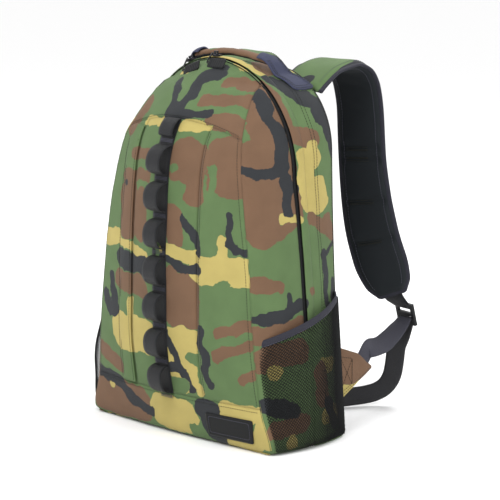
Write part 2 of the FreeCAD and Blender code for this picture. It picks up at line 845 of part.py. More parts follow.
def pad_layer(low, high, shrink):
    """One layer of the right shoulder pad, narrowed by shrink all round."""
    stations = list(PAD_STATIONS)
    centres = [V(*station[:3]) for station in stations]
    if shrink:
        centres[-1] = centres[-1] + (centres[-2] - centres[-1]).normalize() * shrink
    turns = [math.radians(station[3]) for station in stations]
    widths = [V(math.cos(turn), math.sin(turn), 0) for turn in turns]
    halves = [station[4] - shrink for station in stations]
    return band(centres, widths, halves, low, high)


def build_strap_pad():
    """The right shoulder pad's layers, cut clear of the round root piece that stays on the bag."""
    skin = size("pad_skin")
    mid = size("pad_foam") / 2
    edge = size("pad_binding")
    top, low = hinge_line()
    along = (top - low).normalize()
    start = top - along * 80.0
    core = Part.makeCylinder(size("root_radius"), 160.0, start, along)
    shell = Part.makeCylinder(size("root_radius") + size("joint_gap"), 160.0, start, along)
    bag_back = size("rear_depth") + size("wall")
    whole = pad_layer(-mid - skin, mid + skin, 0)
    inner = pad_layer(-mid - skin - 1, mid + skin + 1, edge)
    shapes = {
        "strap_root": whole.common(core),
        "strap_cover": pad_layer(mid, mid + skin, edge).cut(shell),
        "strap_foam": pad_layer(-mid, mid, edge).cut(shell),
        "strap_mesh": pad_layer(-mid - skin, -mid, edge).cut(shell),
        "strap_binding": whole.cut(inner).cut(shell),
    }
    for name, shape in shapes.items():
        outside = shape.common(behind(bag_back))
        feature(name + "_right", outside)
        feature(name + "_left", mirrored(outside))


def build_webbing(lock):
    """Tongue, lower webbing and free tail of the right strap, clear of its lock, and their mirror images."""
    half = size("webbing_width") / 2
    thick = size("webbing_thick")
    rows = {"strap_tongue": TONGUE_STATIONS, "lower_webbing": LOWER_STATIONS, "webbing_tail": TAIL_STATIONS}
    for name, stations in rows.items():
        centres = [V(*station[:3]) for station in stations]
        widths = [V(*station[3:]) for station in stations]
        shape = band(centres, widths, [half] * len(stations), -thick / 2, thick / 2).cut(lock)
        feature(name + "_right", shape)
        feature(name + "_left", mirrored(shape))


def ladder_lock(name, side):
    """The plastic three-bar adjuster at the end of a strap, with two slots for webbing."""
    body = new_body(name)
    outline = [
        ("-Sizes.lock_width / 2", "-Sizes.lock_height / 2"),
        ("Sizes.lock_width / 2", "-Sizes.lock_height / 2"),
        ("Sizes.lock_width / 2", "Sizes.lock_height / 2"),
        ("-Sizes.lock_width / 2", "Sizes.lock_height / 2"),
    ]
    sketch = fixed_outline(sketch_on(body, name + "_outline", "XZ_Plane"), outline)
    made = pad(body, sketch, name + "_pad", "Sizes.lock_thick", midplane=True)
    doc.recompute()
    before = made.Shape.Volume
    for word, low, high in (
        ("upper", "Sizes.lock_bar / 2", "Sizes.lock_height / 2 - Sizes.lock_bar"),
        ("lower", "-Sizes.lock_height / 2 + Sizes.lock_bar", "-Sizes.lock_bar / 2"),
    ):
        slot = [
            ("-Sizes.webbing_width / 2 - 0.6", low),
            ("Sizes.webbing_width / 2 + 0.6", low),
            ("Sizes.webbing_width / 2 + 0.6", high),
            ("-Sizes.webbing_width / 2 - 0.6", high),
        ]
        hole = fixed_outline(sketch_on(body, f"{name}_{word}_slot", "XZ_Plane"), slot)
        pocket_through(body, hole, f"{name}_{word}_pocket", "Sizes.lock_thick * 3")
    doc.recompute()
    if body.Tip.Shape.Volume > before - 100:
        raise RuntimeError(name + ": the slots were not cut")
    lean = FreeCAD.Rotation(Z_AXIS, side * size("lock_turn")).multiply(FreeCAD.Rotation(X_AXIS, size("lock_lean")))
    at = V(side * size("lock_x"), size("lock_y"), size("lock_z"))
    body.Placement = FreeCAD.Placement(at, lean)
    return body


def wing(name, side):
    """The sewn triangle at a lower back corner that the strap's webbing is anchored to."""
    body = new_body(name)
    depth = "Sizes.rear_depth + Sizes.wall + 0.3"
    outline = [
        (depth, "34"),
        (depth, "110"),
        ("Sizes.wing_end_y - 15", "Sizes.wing_end_z + 14"),
        ("Sizes.wing_end_y + 13", "Sizes.wing_end_z - 13"),
    ]
    sketch = fixed_outline(sketch_on(body, name + "_outline", "YZ_Plane"), outline)
    pad(body, sketch, name + "_pad", "Sizes.wing_thick", midplane=True)
    body.Placement = FreeCAD.Placement(V(side * size("wing_x"), 0, 0), FreeCAD.Rotation())
    return body


# ---------------------------------------------------------------- build, check, write


build_shell()
build_dividers()
build_zip()
for side_name, cell in (("left", "slider_left_angle"), ("right", "slider_right_angle")):
    slider("slider_" + side_name, cell)
    pull_tab("pull_tab_" + side_name, cell)
build_back()
build_base_board()
build_sleeve()
build_daisy_chain()
build_label()
build_mesh_pockets()
build_handle()
build_strap_pad()
locks = {}
for side_name, sign in (("right", 1), ("left", -1)):
    locks[side_name] = ladder_lock("ladder_lock_" + side_name, sign)
    wing("wing_" + side_name, sign)
doc.recompute()
build_webbing(locks["right"].Shape)
doc.recompute()

for item in doc.Objects:
    if "Invalid" in item.State or "Error" in item.State:
        raise RuntimeError(f"{item.Name} failed: {item.State}")
for node in NODES:
    if node.Shape.isNull() or not node.Shape.isValid() or not node.Shape.Solids:
        raise RuntimeError(f"{node.Label} has no valid solid")

os.makedirs("parts", exist_ok=True)
for node in NODES:
    node.Shape.exportStep(f"parts/{node.Label}.step")
    box = node.Shape.BoundBox
    spans = " ".join(f"{low:.1f}..{high:.1f}" for low, high in
                     ((box.XMin, box.XMax), (box.YMin, box.YMax), (box.ZMin, box.ZMax)))
    print(f"{node.Label}: {len(node.Shape.Solids)} solid, {node.Shape.Volume / 1000:.1f} cm3, {spans}")
print(len(NODES), "nodes")
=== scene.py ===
import json
import math

import bmesh
import bpy
import numpy as np
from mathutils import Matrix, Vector, noise
from mathutils.bvhtree import BVHTree

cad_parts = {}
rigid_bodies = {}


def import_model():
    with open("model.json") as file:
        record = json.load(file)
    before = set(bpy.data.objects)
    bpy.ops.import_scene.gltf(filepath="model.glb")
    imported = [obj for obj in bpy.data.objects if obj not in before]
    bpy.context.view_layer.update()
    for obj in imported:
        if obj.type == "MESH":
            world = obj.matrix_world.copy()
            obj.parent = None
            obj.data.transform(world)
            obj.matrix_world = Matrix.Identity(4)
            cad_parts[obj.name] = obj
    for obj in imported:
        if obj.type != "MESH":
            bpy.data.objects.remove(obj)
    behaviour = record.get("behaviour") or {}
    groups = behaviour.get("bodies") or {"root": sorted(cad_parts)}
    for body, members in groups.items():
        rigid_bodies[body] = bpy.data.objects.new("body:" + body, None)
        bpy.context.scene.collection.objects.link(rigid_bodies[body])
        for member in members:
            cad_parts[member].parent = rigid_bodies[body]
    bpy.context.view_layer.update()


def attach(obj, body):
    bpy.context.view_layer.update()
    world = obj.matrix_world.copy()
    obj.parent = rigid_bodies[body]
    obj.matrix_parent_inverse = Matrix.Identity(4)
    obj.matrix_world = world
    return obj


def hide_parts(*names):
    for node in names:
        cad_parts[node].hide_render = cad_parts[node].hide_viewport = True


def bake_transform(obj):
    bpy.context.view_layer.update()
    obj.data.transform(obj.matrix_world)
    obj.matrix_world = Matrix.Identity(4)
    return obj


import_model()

# A padded backpack-style gig bag. The front faces -Y, the straps are on +Y, and the main zip is at y = 0.
# Lengths in the tables and calls are millimetres; MM turns them into metres where a mesh is made.
MM = 0.001

# ---------------------------------------------------------------- sizes

ARCH_RADIUS = 137.0
ARCH_CENTRE = 336.0
SIDE_BASE = 165.0
SIDE_BULGE = 5.0
REAR_DEPTH = 69.0
REAR_CORNER = 100.0
REAR_TOP = 462.0
REAR_HALVES = (154.0, 139.0, 132.0)  # at the floor, half way up to the corner, and at the corner
FRONT_TOP = 471.5
BAND_TOP = 57.0
YOKE_SIDE = 383.0
YOKE_RISE = 21.0
YOKE_HALF = 104.0  # half width of the yoke's lower seam
STRIP_LOW = 61.0  # half width between the two upright seams of the front, at the bottom
STRIP_HIGH = 57.0
ZIP_HALF = 4.8  # the zip's channel, each side of y = 0
WEBBING = 25.0
WEB_THICK = 1.6
LOOP_PITCH = 46.4
LOOP_HEIGHT = 36.0
LOOP_BASE = 58.0
LOOP_REACH = 13.0
LOOPS = 8
CHAIN_TOP = 404.0
LABEL_X = 101.0
LABEL_Z = 27.0
FORWARD = (0, -1, 0)
LEFT_SLACK = 25.0  # how far the left side pocket hangs out near its front edge
PAD_PRESSURE = 3.0  # of the cloth simulation that fills the pads
SETTLE_FRAMES = 20
FLOOR_HALF = 12.0  # metres
REAR_BEND = REAR_TOP - REAR_CORNER  # height where the back panel's round corners start
TAPER_SPAN = 76.0  # degrees of the arch from the shoulder (w = 1) to w = 2
CLOTH = 1.2  # thickness of the shell's cloth
NET_THREAD = 1.2
GRIP_RADIUS = 260.0
GRIP_SPAN = 14.25  # degrees of the grip's arc, each side of the middle
GRID = 3.2  # usual spacing of a panel's points
SIDES = ((1, "right"), (-1, "left"))

# Height, half width of the front seams, their depth in front of the zip, and the depth of the middle.
FRONT_STATIONS = np.array([
    (0, 158, 67, 73), (8, 163, 72, 80), (54, 150, 76, 92), (140, 140, 80, 104), (229, 131, 78, 104),
    (282, 123, 77, 102), (341, 112, 72, 98), (372, 106, 66, 91), (402, 96, 50, 77), (422, 89, 35, 62),
    (439, 83, 19, 47), (448, 78, 2, 38), (458, 61, 1.5, 27), (466, 42, 1, 15), (471.5, 18, 0.5, 5),
], float)

# Right shoulder pad: centre, turn of its width about the vertical in degrees, and half width.
PAD_STATIONS = np.array([
    (72, 62, 424, 0, 35), (73, 84, 443, 0, 35), (74, 110, 458, 2, 35), (75, 137, 462, 5, 34),
    (76, 159, 453, 8, 33), (77, 173, 430, 10, 32), (77, 180, 395, 12, 31), (78, 183, 340, 14, 31),
    (81, 187, 290, 17, 32), (86, 194, 240, 22, 33), (92, 204, 200, 27, 33), (97, 214, 170, 31, 28),
    (100, 220, 154, 33, 17),
], float)

TACKS = (0.505, 0.545, 0.68, 0.81)  # places along the pad of its rows of stitches

# Webbing of the right strap: centre, and the direction of its width.
TONGUE = ((98, 214, 162, 0.84, 0.54, 0), (100.3, 220.8, 151.5, 0.84, 0.54, 0), (103, 228, 143, 0.93, 0.36, 0),
          (105.5, 236.5, 135, 0.98, 0.17, 0), (106.5, 241, 131.5, 0.98, -0.17, 0))
LOWER = ((106.5, 241, 119.5, 0.98, -0.17, 0), (107, 236.5, 117.5, 0.98, -0.17, 0),
         (111, 222, 111, 0.97, 0, -0.15), (119, 196, 102, 0.85, 0.2, -0.4), (128, 168, 97, 0.5, 0.5, -0.6),
         (134, 148, 98, 0.2, 0.68, -0.65), (136.8, 134, 99, 0, 0.77, -0.63),
         (137.3, 126, 91.5, 0, 0.78, -0.62), (137.4, 121, 85, 0, 0.78, -0.62))
TAIL = ((106.2, 239, 122, 0.98, -0.17, 0), (106.5, 243.5, 113, 0.98, -0.17, 0), (102, 238, 96, 0.94, 0.34, 0),
        (98, 232, 78, 0.71, 0.71, 0), (97, 230, 60, 0.71, 0.7, 0), (95, 228.5, 44, 0.68, 0.68, -0.2),
        (90.5, 224.5, 30, 0.55, 0.6, -0.55), (84, 217, 21, 0.35, 0.45, -0.8), (76, 205, 16, 0.2, 0.3, -0.9),
        (67, 189, 14, 0.1, 0.25, -0.93), (58, 168, 13.5, 0.05, 0.2, -0.95))


# ---------------------------------------------------------------- shapes of the shell


def smooth(at, places, values):
    """Monotone cubic reading of a table."""
    at = np.clip(np.asarray(at, float), places[0], places[-1])
    gap = np.diff(places)
    slope = np.diff(values) / gap
    tangent = np.zeros(len(values))
    product = slope[:-1] * slope[1:]
    total = np.where(np.abs(slope[:-1] + slope[1:]) > 1e-9, slope[:-1] + slope[1:], 1)
    tangent[1:-1] = np.where(product > 0, 2 * product / total, 0)
    tangent[0], tangent[-1] = slope[0], slope[-1]
    i = np.clip(np.searchsorted(places, at, side="right") - 1, 0, len(places) - 2)
    t = (at - places[i]) / gap[i]
    return (values[i] * (1 + 2 * t) * (1 - t) ** 2 + tangent[i] * gap[i] * t * (1 - t) ** 2
            + values[i + 1] * t * t * (3 - 2 * t) + tangent[i + 1] * gap[i] * t * t * (t - 1))


def unit(vectors):
    """The same vectors with length 1."""
    return vectors / np.maximum(np.linalg.norm(vectors, axis=-1, keepdims=True), 1e-9)


def distance_along(path):
    """Distance along a path at each of its points."""
    steps = np.linalg.norm(np.diff(path, axis=0), axis=1)
    return np.concatenate([[0], np.cumsum(steps)])


def station(z, column):
    """Reading of one column of FRONT_STATIONS at height z."""
    return smooth(z, FRONT_STATIONS[:, 0], FRONT_STATIONS[:, column])


def side_half(z):
    """Half width of the zip plane's outline at height z."""
    z = np.asarray(z, float)
    share = z / ARCH_CENTRE
    low = SIDE_BASE + (ARCH_RADIUS - SIDE_BASE) * share + SIDE_BULGE * (1 - (2 * share - 1) ** 2)
    high = np.sqrt(np.maximum(ARCH_RADIUS**2 - (z - ARCH_CENTRE) ** 2, 1.0))
    return np.where(z > ARCH_CENTRE, high, low)


def face_at(x, z):
    """Point of the front face, a soft ridge between the two front seams."""
    half = station(z, 1)
    depth = station(z, 2)
    share = np.clip(np.abs(x) / half, 0, 1)
    y = -(depth + (station(z, 3) - depth) * (1 - share**1.6))
    return np.stack([x + 0 * z, np.minimum(y, -ZIP_HALF), z + 0 * x], -1)


def gusset_at(s, z):
    """Point of the right front gusset: s is 0 at the front seam and 1 at the zip."""
    depth = np.maximum(station(z, 2), ZIP_HALF)
    seam = np.minimum(station(z, 1), side_half(z))
    y = -depth + (depth - ZIP_HALF) * s
    out = 3.5 * np.sin(math.pi * s) * np.clip(depth / 70, 0, 1)
    x = seam + (side_half(z) - seam) * (y + depth) / depth + out
    return np.stack([x, y, z + 0 * s], -1)


def zip_at(w, y, out):
    """Point on the zip's outline, moved out.

    w is 0 at the right foot, 1 at the shoulder, 3 at the top, and negative on the left.
    """
    side = np.where(np.asarray(w) < 0, -1.0, 1.0)
    w = np.abs(np.asarray(w, float))
    late = TAPER_SPAN + (90 - TAPER_SPAN) * (w - 2)
    angle = np.radians(np.where(w < 2, TAPER_SPAN * np.clip(w - 1, 0, 1), late))
    low_z = ARCH_CENTRE * np.clip(w, 0, 1)
    x = np.where(w < 1, side_half(low_z) + out, (ARCH_RADIUS + out) * np.cos(angle))
    z = np.where(w < 1, low_z, ARCH_CENTRE + (ARCH_RADIUS + out) * np.sin(angle))
    return np.stack([side * x, y + 0 * x, z], -1)


def rear_half(share):
    """Half width of the back panel, with share 0 at the floor and 1 where its round corners start."""
    base, middle, corner = REAR_HALVES
    return (base * (1 - share) * (1 - 2 * share) + middle * 4 * share * (1 - share)
            + corner * share * (2 * share - 1))


def back_at(w, out):
    """Point on the back panel's outline, moved out, with the same w."""
    side = np.where(np.asarray(w) < 0, -1.0, 1.0)
    w = np.abs(np.asarray(w, float))
    share = np.clip(w, 0, 1)
    angle = np.radians(90 * np.clip(w - 1, 0, 1))
    corner_x = REAR_HALVES[2] - REAR_CORNER
    x = np.where(w < 1, rear_half(share) + out, corner_x + (REAR_CORNER + out) * np.cos(angle))
    x = np.where(w > 2, corner_x * (3 - w), x)
    z = np.where(w < 1, REAR_BEND * share, REAR_BEND + (REAR_CORNER + out) * np.sin(angle))
    return np.stack([side * x, REAR_DEPTH + 0 * x, z], -1)


def rear_at(w, y, out=0.0):
    """Point of the rear gusset, between the zip's outline and the back panel's."""
    share = (np.asarray(y, float) / REAR_DEPTH)[..., None] if np.ndim(y) else y / REAR_DEPTH
    crown = 3.0 * np.sin(math.pi * np.clip(np.asarray(y) / REAR_DEPTH, 0, 1))
    front = zip_at(w, 0, out + crown)
    rear = back_at(w, out + crown)
    point = front + (rear - front) * share
    point[..., 1] = np.asarray(y) + 0 * point[..., 0]
    return point


def strip_half(z):
    """Half width between the two upright seams of the front at height z."""
    return STRIP_LOW + (STRIP_HIGH - STRIP_LOW) * (z - BAND_TOP) / (YOKE_SIDE - BAND_TOP)


def yoke_line(x):
    """Height of the curved seam under the yoke."""
    return YOKE_SIDE + YOKE_RISE * (1 - np.clip(x / 106.0, -1, 1) ** 2)


# ---------------------------------------------------------------- meshes


def wobble(points, scale, seed):
    """Smooth noise from -1 to 1 at each point (millimetres), the same on every run."""
    flat = points.reshape(-1, 3) / scale
    shift = Vector((seed * 7.3, seed * 3.1, seed * 5.7))
    values = [noise.noise(Vector(p) + shift) for p in flat]
    return np.array(values).reshape(points.shape[:-1])


def normals_of(points):
    """Unit normals of a grid of points."""
    return unit(np.cross(np.gradient(points, axis=0), np.gradient(points, axis=1)))


def new_piece(name, vertices, faces):
    """A smooth-shaded piece from vertices in metres and faces."""
    mesh = bpy.data.meshes.new(name)
    mesh.from_pydata([tuple(v) for v in vertices], [], faces)
    mesh.validate()
    piece = bpy.data.objects.new(name, mesh)
    bpy.context.scene.collection.objects.link(piece)
    mesh.shade_smooth()
    return piece


def grid_faces(rows, columns, wrap=False):
    """Faces between neighbouring points of a grid. wrap joins its last column to its first."""
    faces = []
    for i in range(rows - 1):
        for j in range(columns if wrap else columns - 1):
            k = (j + 1) % columns
            faces.append((i * columns + j, (i + 1) * columns + j, (i + 1) * columns + k, i * columns + k))
    return faces


def tube_faces(rows, columns):
    """Faces of a tube of rings, with a face at each end."""
    last = (rows - 1) * columns
    ends = [tuple(range(columns)), tuple(range(last, last + columns))[::-1]]
    return grid_faces(rows, columns, wrap=True) + ends


def store(piece, name, values):
    """Keeps a number, or a vector, at each vertex for the materials to read."""
    values = np.asarray(values, np.float32)
    kind = "FLOAT" if values.ndim == 1 else "FLOAT_VECTOR"
    field = "value" if values.ndim == 1 else "vector"
    attribute = piece.data.attributes.new(name, kind, "POINT")
    attribute.data.foreach_set(field, values.ravel())


def stored(piece, name):
    """The numbers kept under this name, one for each vertex."""
    values = np.zeros(len(piece.data.vertices), np.float32)
    piece.data.attributes[name].data.foreach_get("value", values)
    return values


def change(piece, name, values):
    """Replaces the numbers kept under this name."""
    values = np.asarray(values, np.float32)
    piece.data.attributes[name].data.foreach_set("value", values)


def positions(piece):
    """Vertex positions in metres."""
    flat = np.zeros(len(piece.data.vertices) * 3, np.float32)
    piece.data.vertices.foreach_get("co", flat)
    return flat.reshape(-1, 3).astype(float)


def place(piece, points):
    """Moves the vertices to these positions in metres."""
    piece.data.vertices.foreach_set("co", np.asarray(points, np.float32).ravel())
    piece.data.update()


def thread_grid(points):
    """How far each point of a grid in millimetres lies across and along it, in metres."""
    rows, columns = points.shape[:2]
    step_across = np.linalg.norm(np.diff(points, axis=0), axis=-1)
    step_along = np.linalg.norm(np.diff(points, axis=1), axis=-1)
    across = np.concatenate([np.zeros((1, columns)), np.cumsum(step_across, axis=0)])
    along = np.concatenate([np.zeros((rows, 1)), np.cumsum(step_along, axis=1)], axis=1)
    return np.stack([across, along, 0 * along], -1).reshape(-1, 3) * MM


def grid_piece(name, points):
    """An open sheet from a grid of points in millimetres. Keeps its thread coordinates and its cut size."""
    piece = new_piece(name, points.reshape(-1, 3) * MM, grid_faces(*points.shape[:2]))
    thread = thread_grid(points)
    store(piece, "thread", thread)
    area = sum(polygon.area for polygon in piece.data.polygons)
    piece["cut"] = [float(thread[:, 0].max()), float(thread[:, 1].max()), float(area)]
    return piece


def declare_sheet(piece):
    """Removes the cut size that grid_piece stored on a panel: the most it measures across and along, and its
    area.
    """
    del piece["cut"]


def bake_modifiers(piece):
    """Replaces the mesh by what its modifiers make of it."""
    graph = bpy.context.evaluated_depsgraph_get()
    mesh = bpy.data.meshes.new_from_object(piece.evaluated_get(graph))
    piece.modifiers.clear()
    old = piece.data
    piece.data = mesh
    bpy.data.meshes.remove(old)
    return piece


def thicken(piece, thickness=CLOTH):
    """Gives a sheet its thickness, towards the inside."""
    solid = piece.modifiers.new("thickness", "SOLIDIFY")
    solid.thickness = thickness * MM
    solid.offset = -1
    solid.use_even_offset = False
    return bake_modifiers(piece)


def frames(path):
    """Tangents, and two sideways directions that turn as little as possible, along a path."""
    tangent = unit(np.gradient(path, axis=0))
    side = np.zeros_like(path)
    seed = np.array([0, 0, 1.0]) if abs(tangent[0][2]) < 0.9 else np.array([1.0, 0, 0])
    side[0] = unit(np.cross(tangent[0], seed))
    for i in range(1, len(path)):
        side[i] = unit(side[i - 1] - tangent[i] * np.dot(side[i - 1], tangent[i]))
    return tangent, side, np.cross(tangent, side)


def squared(directions, tangent):
    """Unit directions made square to the tangents."""
    return unit(directions - tangent * np.sum(directions * tangent, axis=1, keepdims=True))


def tube_mesh(path, wide, high=None, sides=10, side=None, closed=False):
    """Vertices and faces of an oval tube. wide and high are radii, one number or one for each point."""
    path = np.asarray(path, float)
    tangent, one, two = frames(path)
    if side is not None:
        one = squared(side, tangent)
        two = np.cross(tangent, one)
    wide = np.broadcast_to(wide, len(path))[:, None, None]
    high = wide if high is None else np.broadcast_to(high, len(path))[:, None, None]
    angle = np.linspace(0, 2 * math.pi, sides, endpoint=False)[None, :, None]
    ring = np.cos(angle) * one[:, None] * wide + np.sin(angle) * two[:, None] * high
    vertices = (path[:, None] + ring).reshape(-1, 3)
    if not closed:
        return vertices, tube_faces(len(path), sides)
    last = (len(path) - 1) * sides
    seam = [(last + j, j, (j + 1) % sides, last + (j + 1) % sides) for j in range(sides)]
    return vertices, grid_faces(len(path), sides, wrap=True) + seam


def face_outwards(piece):
    """Turns every face of a closed piece outwards."""
    shape = bmesh.new()
    shape.from_mesh(piece.data)
    bmesh.ops.recalc_face_normals(shape, faces=shape.faces)
    shape.to_mesh(piece.data)
    shape.free()
    return piece


def tube(name, path, wide, high=None, sides=10, side=None):
    """A closed oval tube as a piece."""
    vertices, faces = tube_mesh(path, wide, high, sides, side)
    return face_outwards(new_piece(name, vertices * MM, faces))


def joined(name, parts):
    """One piece from several lists of vertices (millimetres) and faces."""
    vertices, faces, count = [], [], 0
    for points, polygons in parts:
        vertices.append(np.asarray(points, float))
        faces += [tuple(count + i for i in polygon) for polygon in polygons]
        count += len(points)
    return face_outwards(new_piece(name, np.concatenate(vertices) * MM, faces))


def curve_through(stations, count):
    """Smooth resampling of a row of stations, by distance along them."""
    stations = np.asarray(stations, float)
    length = distance_along(stations[:, :3])
    at = np.linspace(0, length[-1], count)
    return np.stack([smooth(at, length, stations[:, c]) for c in range(stations.shape[1])], -1)


def ribbon(name, centres, widths, thick, lanes=8):
    """Flat webbing with rounded edges, modelled directly."""
    tangent = unit(np.gradient(centres, axis=0))
    across = squared(widths, tangent)
    normal = np.cross(across, tangent)
    top = [(u, 1.0 if abs(u) < 0.99 else 0.45) for u in np.linspace(-1, 1, lanes)]
    profile = top + [(u, -v) for u, v in top[::-1]]
    rings = [centres + across * (u * WEBBING / 2) + normal * (v * thick / 2) for u, v in profile]
    points = np.stack(rings, axis=1)
    faces = tube_faces(len(centres), len(profile))
    piece = face_outwards(new_piece(name, points.reshape(-1, 3) * MM, faces))
    thread = [[(u * WEBBING / 2, s, 0) for u, _ in profile] for s in distance_along(centres)]
    store(piece, "thread", np.array(thread).reshape(-1, 3) * MM)
    return piece


def tree_of(piece):
    """Search tree of a piece's surface."""
    graph = bpy.context.evaluated_depsgraph_get()
    return BVHTree.FromObject(piece, graph)


def laid_on(tree, points, lift, outward=None):
    """Points (millimetres) moved onto a surface and lifted along its normal, and the normals there."""
    placed, normals = [], []
    for point in points:
        spot, normal, _, _ = tree.find_nearest(Vector(point) * MM)
        if outward is not None and normal.dot(Vector(outward)) < 0:
            normal = -normal
        placed.append(np.array(spot) / MM + np.array(normal) * lift)
        normals.append(np.array(normal))
    return np.array(placed), np.array(normals)


def evenly(path, step):
    """Points every step along a path."""
    length = distance_along(path)
    at = np.linspace(0, length[-1], max(int(length[-1] / step), 1) + 1)
    return np.stack([np.interp(at, length, path[:, c]) for c in range(3)], -1)


def stitch_parts(path, normals, pitch=3.6):
    """Short rounded threads along a path that already lies on the cloth."""
    length, radius = 2.5, 0.32
    spots = evenly(path, pitch)
    pick = np.linspace(0, len(normals) - 1, len(spots)).round().astype(int)
    ends = np.array([-0.5, -0.3, 0.3, 0.5]) * length
    dip = np.array([-0.35, 0.12, 0.12, -0.35])
    taper = np.array([0.4, 1, 1, 0.4]) * radius
    parts = []
    for i in range(len(spots) - 1):
        middle = (spots[i] + spots[i + 1]) / 2
        along = unit(spots[i + 1] - spots[i])
        line = middle + ends[:, None] * along + dip[:, None] * normals[pick[i]]
        parts.append(tube_mesh(line, taper, sides=5))
    return parts


def stitches(name, surface, rows, material, lift=0.25, outward=None, pitch=3.6):
    """Rows of stitches laid on a piece, all in one piece."""
    tree = tree_of(surface)
    parts = []
    for row in rows:
        placed, normals = laid_on(tree, evenly(row, 3.0), lift, outward)
        parts += stitch_parts(placed, normals, pitch)
    piece = joined(name, parts)
    piece.data.materials.append(material)
    return piece


def mirror(piece):
    """Moves a piece to the other side of the bag."""
    place(piece, positions(piece) * np.array([-1, 1, 1]))
    piece.data.flip_normals()
    return piece


def fold_over(piece):
    """Bakes into its mesh the placement of cloth that lies across the bend between the bag and its opened
    front.
    """
    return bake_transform(piece)


def settle(piece, pins, cap):
    """Cloth simulation: presses a closed pad outwards, holds the pinned points, and keeps the result."""
    start = positions(piece)
    group = piece.vertex_groups.new(name="pins")
    for index in np.nonzero(pins > 0)[0]:
        group.add([int(index)], float(pins[index]), "REPLACE")
    cloth = piece.modifiers.new("cloth", "CLOTH")
    settings = cloth.settings
    settings.quality = 5
    settings.mass = 0.3
    settings.tension_stiffness = 25
    settings.compression_stiffness = 25
    settings.shear_stiffness = 10
    settings.bending_stiffness = 0.5
    settings.vertex_group_mass = "pins"
    settings.pin_stiffness = 1.0
    settings.use_pressure = True
    settings.uniform_pressure_force = PAD_PRESSURE
    settings.effector_weights.gravity = 0
    cloth.collision_settings.use_self_collision = False
    cloth.point_cache.frame_start = 1
    cloth.point_cache.frame_end = SETTLE_FRAMES
    scene = bpy.context.scene
    for number in range(1, SETTLE_FRAMES + 1):
        scene.frame_set(number)
    graph = bpy.context.evaluated_depsgraph_get()
    shaped = piece.evaluated_get(graph).to_mesh()
    moved = np.zeros(len(shaped.vertices) * 3, np.float32)
    shaped.vertices.foreach_get("co", moved)
    piece.evaluated_get(graph).to_mesh_clear()
    step = moved.reshape(-1, 3) - start
    far = np.linalg.norm(step, axis=1, keepdims=True)
    step *= np.minimum(1, cap * MM / np.maximum(far, 1e-9))
    piece.modifiers.remove(cloth)
    piece.vertex_groups.remove(group)
    place(piece, start + step)
    scene.frame_set(1)


# ---------------------------------------------------------------- materials


def colour(code):
    """Linear colour from a hex code."""
    parts = [int(code[i:i + 2], 16) / 255 for i in (0, 2, 4)]
    return tuple([c / 12.92 if c <= 0.04045 else ((c + 0.055) / 1.055) ** 2.4 for c in parts] + [1.0])


GREEN = colour("536943")
BROWN = colour("684F3C")
KHAKI = colour("A7985A")
DARK = colour("2A2C2F")
METAL_SPECULAR = 0.5
CLOTH_SPECULAR = 0.22


class Nodes:
    """A short way to write a material's nodes."""

    def __init__(self, name):
        self.material = bpy.data.materials.new(name)
        self.material.use_nodes = True
        self.tree = self.material.node_tree
        self.shader = self.tree.nodes["Principled BSDF"]

    def add(self, kind, inputs=(), **settings):
        node = self.tree.nodes.new(kind)
        for key, value in settings.items():
            setattr(node, key, value)
        for key, value in dict(inputs).items():
            self.feed(node.inputs[key], value)
        return node

    def feed(self, socket, value):
        if isinstance(value, bpy.types.NodeSocket):
            self.tree.links.new(value, socket)
        else:
            socket.default_value = value

    def math(self, operation, one, two=0.0):
        return self.add("ShaderNodeMath", {0: one, 1: two}, operation=operation).outputs[0]

    def scaled(self, value, factor, offset=0.5, clamp=False):
        """value * factor + offset."""
        inputs = {0: value, 1: factor, 2: offset}
        return self.add("ShaderNodeMath", inputs, operation="MULTIPLY_ADD", use_clamp=clamp).outputs[0]

    def noise(self, vector, scale, detail=3.0):
        inputs = {"Vector": vector, "Scale": scale, "Detail": detail}
        return self.add("ShaderNodeTexNoise", inputs).outputs["Fac"]

    def mix(self, factor, one, two):
        node = self.add("ShaderNodeMix", {0: factor, 6: one, 7: two}, data_type="RGBA")
        return node.outputs[2]

    def field(self, name):
        return self.add("ShaderNodeAttribute", attribute_name=name).outputs

    def bump(self, height, distance, strength=1.0, below=None):
        node = self.add("ShaderNodeBump", {"Height": height, "Distance": distance, "Strength": strength})
        if below is not None:
            self.tree.links.new(below, node.inputs["Normal"])
        return node.outputs[0]

    def surface(self, base, roughness, normal=None, sheen=0.0, metallic=0.0):
        self.feed(self.shader.inputs["Base Color"], base)
        self.feed(self.shader.inputs["Roughness"], roughness)
        self.feed(self.shader.inputs["Metallic"], metallic)
        self.feed(self.shader.inputs["Sheen Weight"], sheen)
        self.feed(self.shader.inputs["Sheen Roughness"], 0.5)
        specular = METAL_SPECULAR if metallic > 0 else CLOTH_SPECULAR
        self.feed(self.shader.inputs["Specular IOR Level"], specular)
        if normal is not None:
            self.feed(self.shader.inputs["Normal"], normal)
        return self.material


def weave(nodes, pitch):
    """Plain weave height from the cloth's own thread coordinates."""
    thread = nodes.field("thread")["Vector"]
    split = nodes.add("ShaderNodeSeparateXYZ", {0: thread})
    waves = []
    for axis in (0, 1):
        turns = nodes.math("MULTIPLY", split.outputs[axis], 2 * math.pi / (pitch * MM))
        waves.append(nodes.math("SINE", turns))
    return nodes.math("MULTIPLY", waves[0], waves[1]), thread


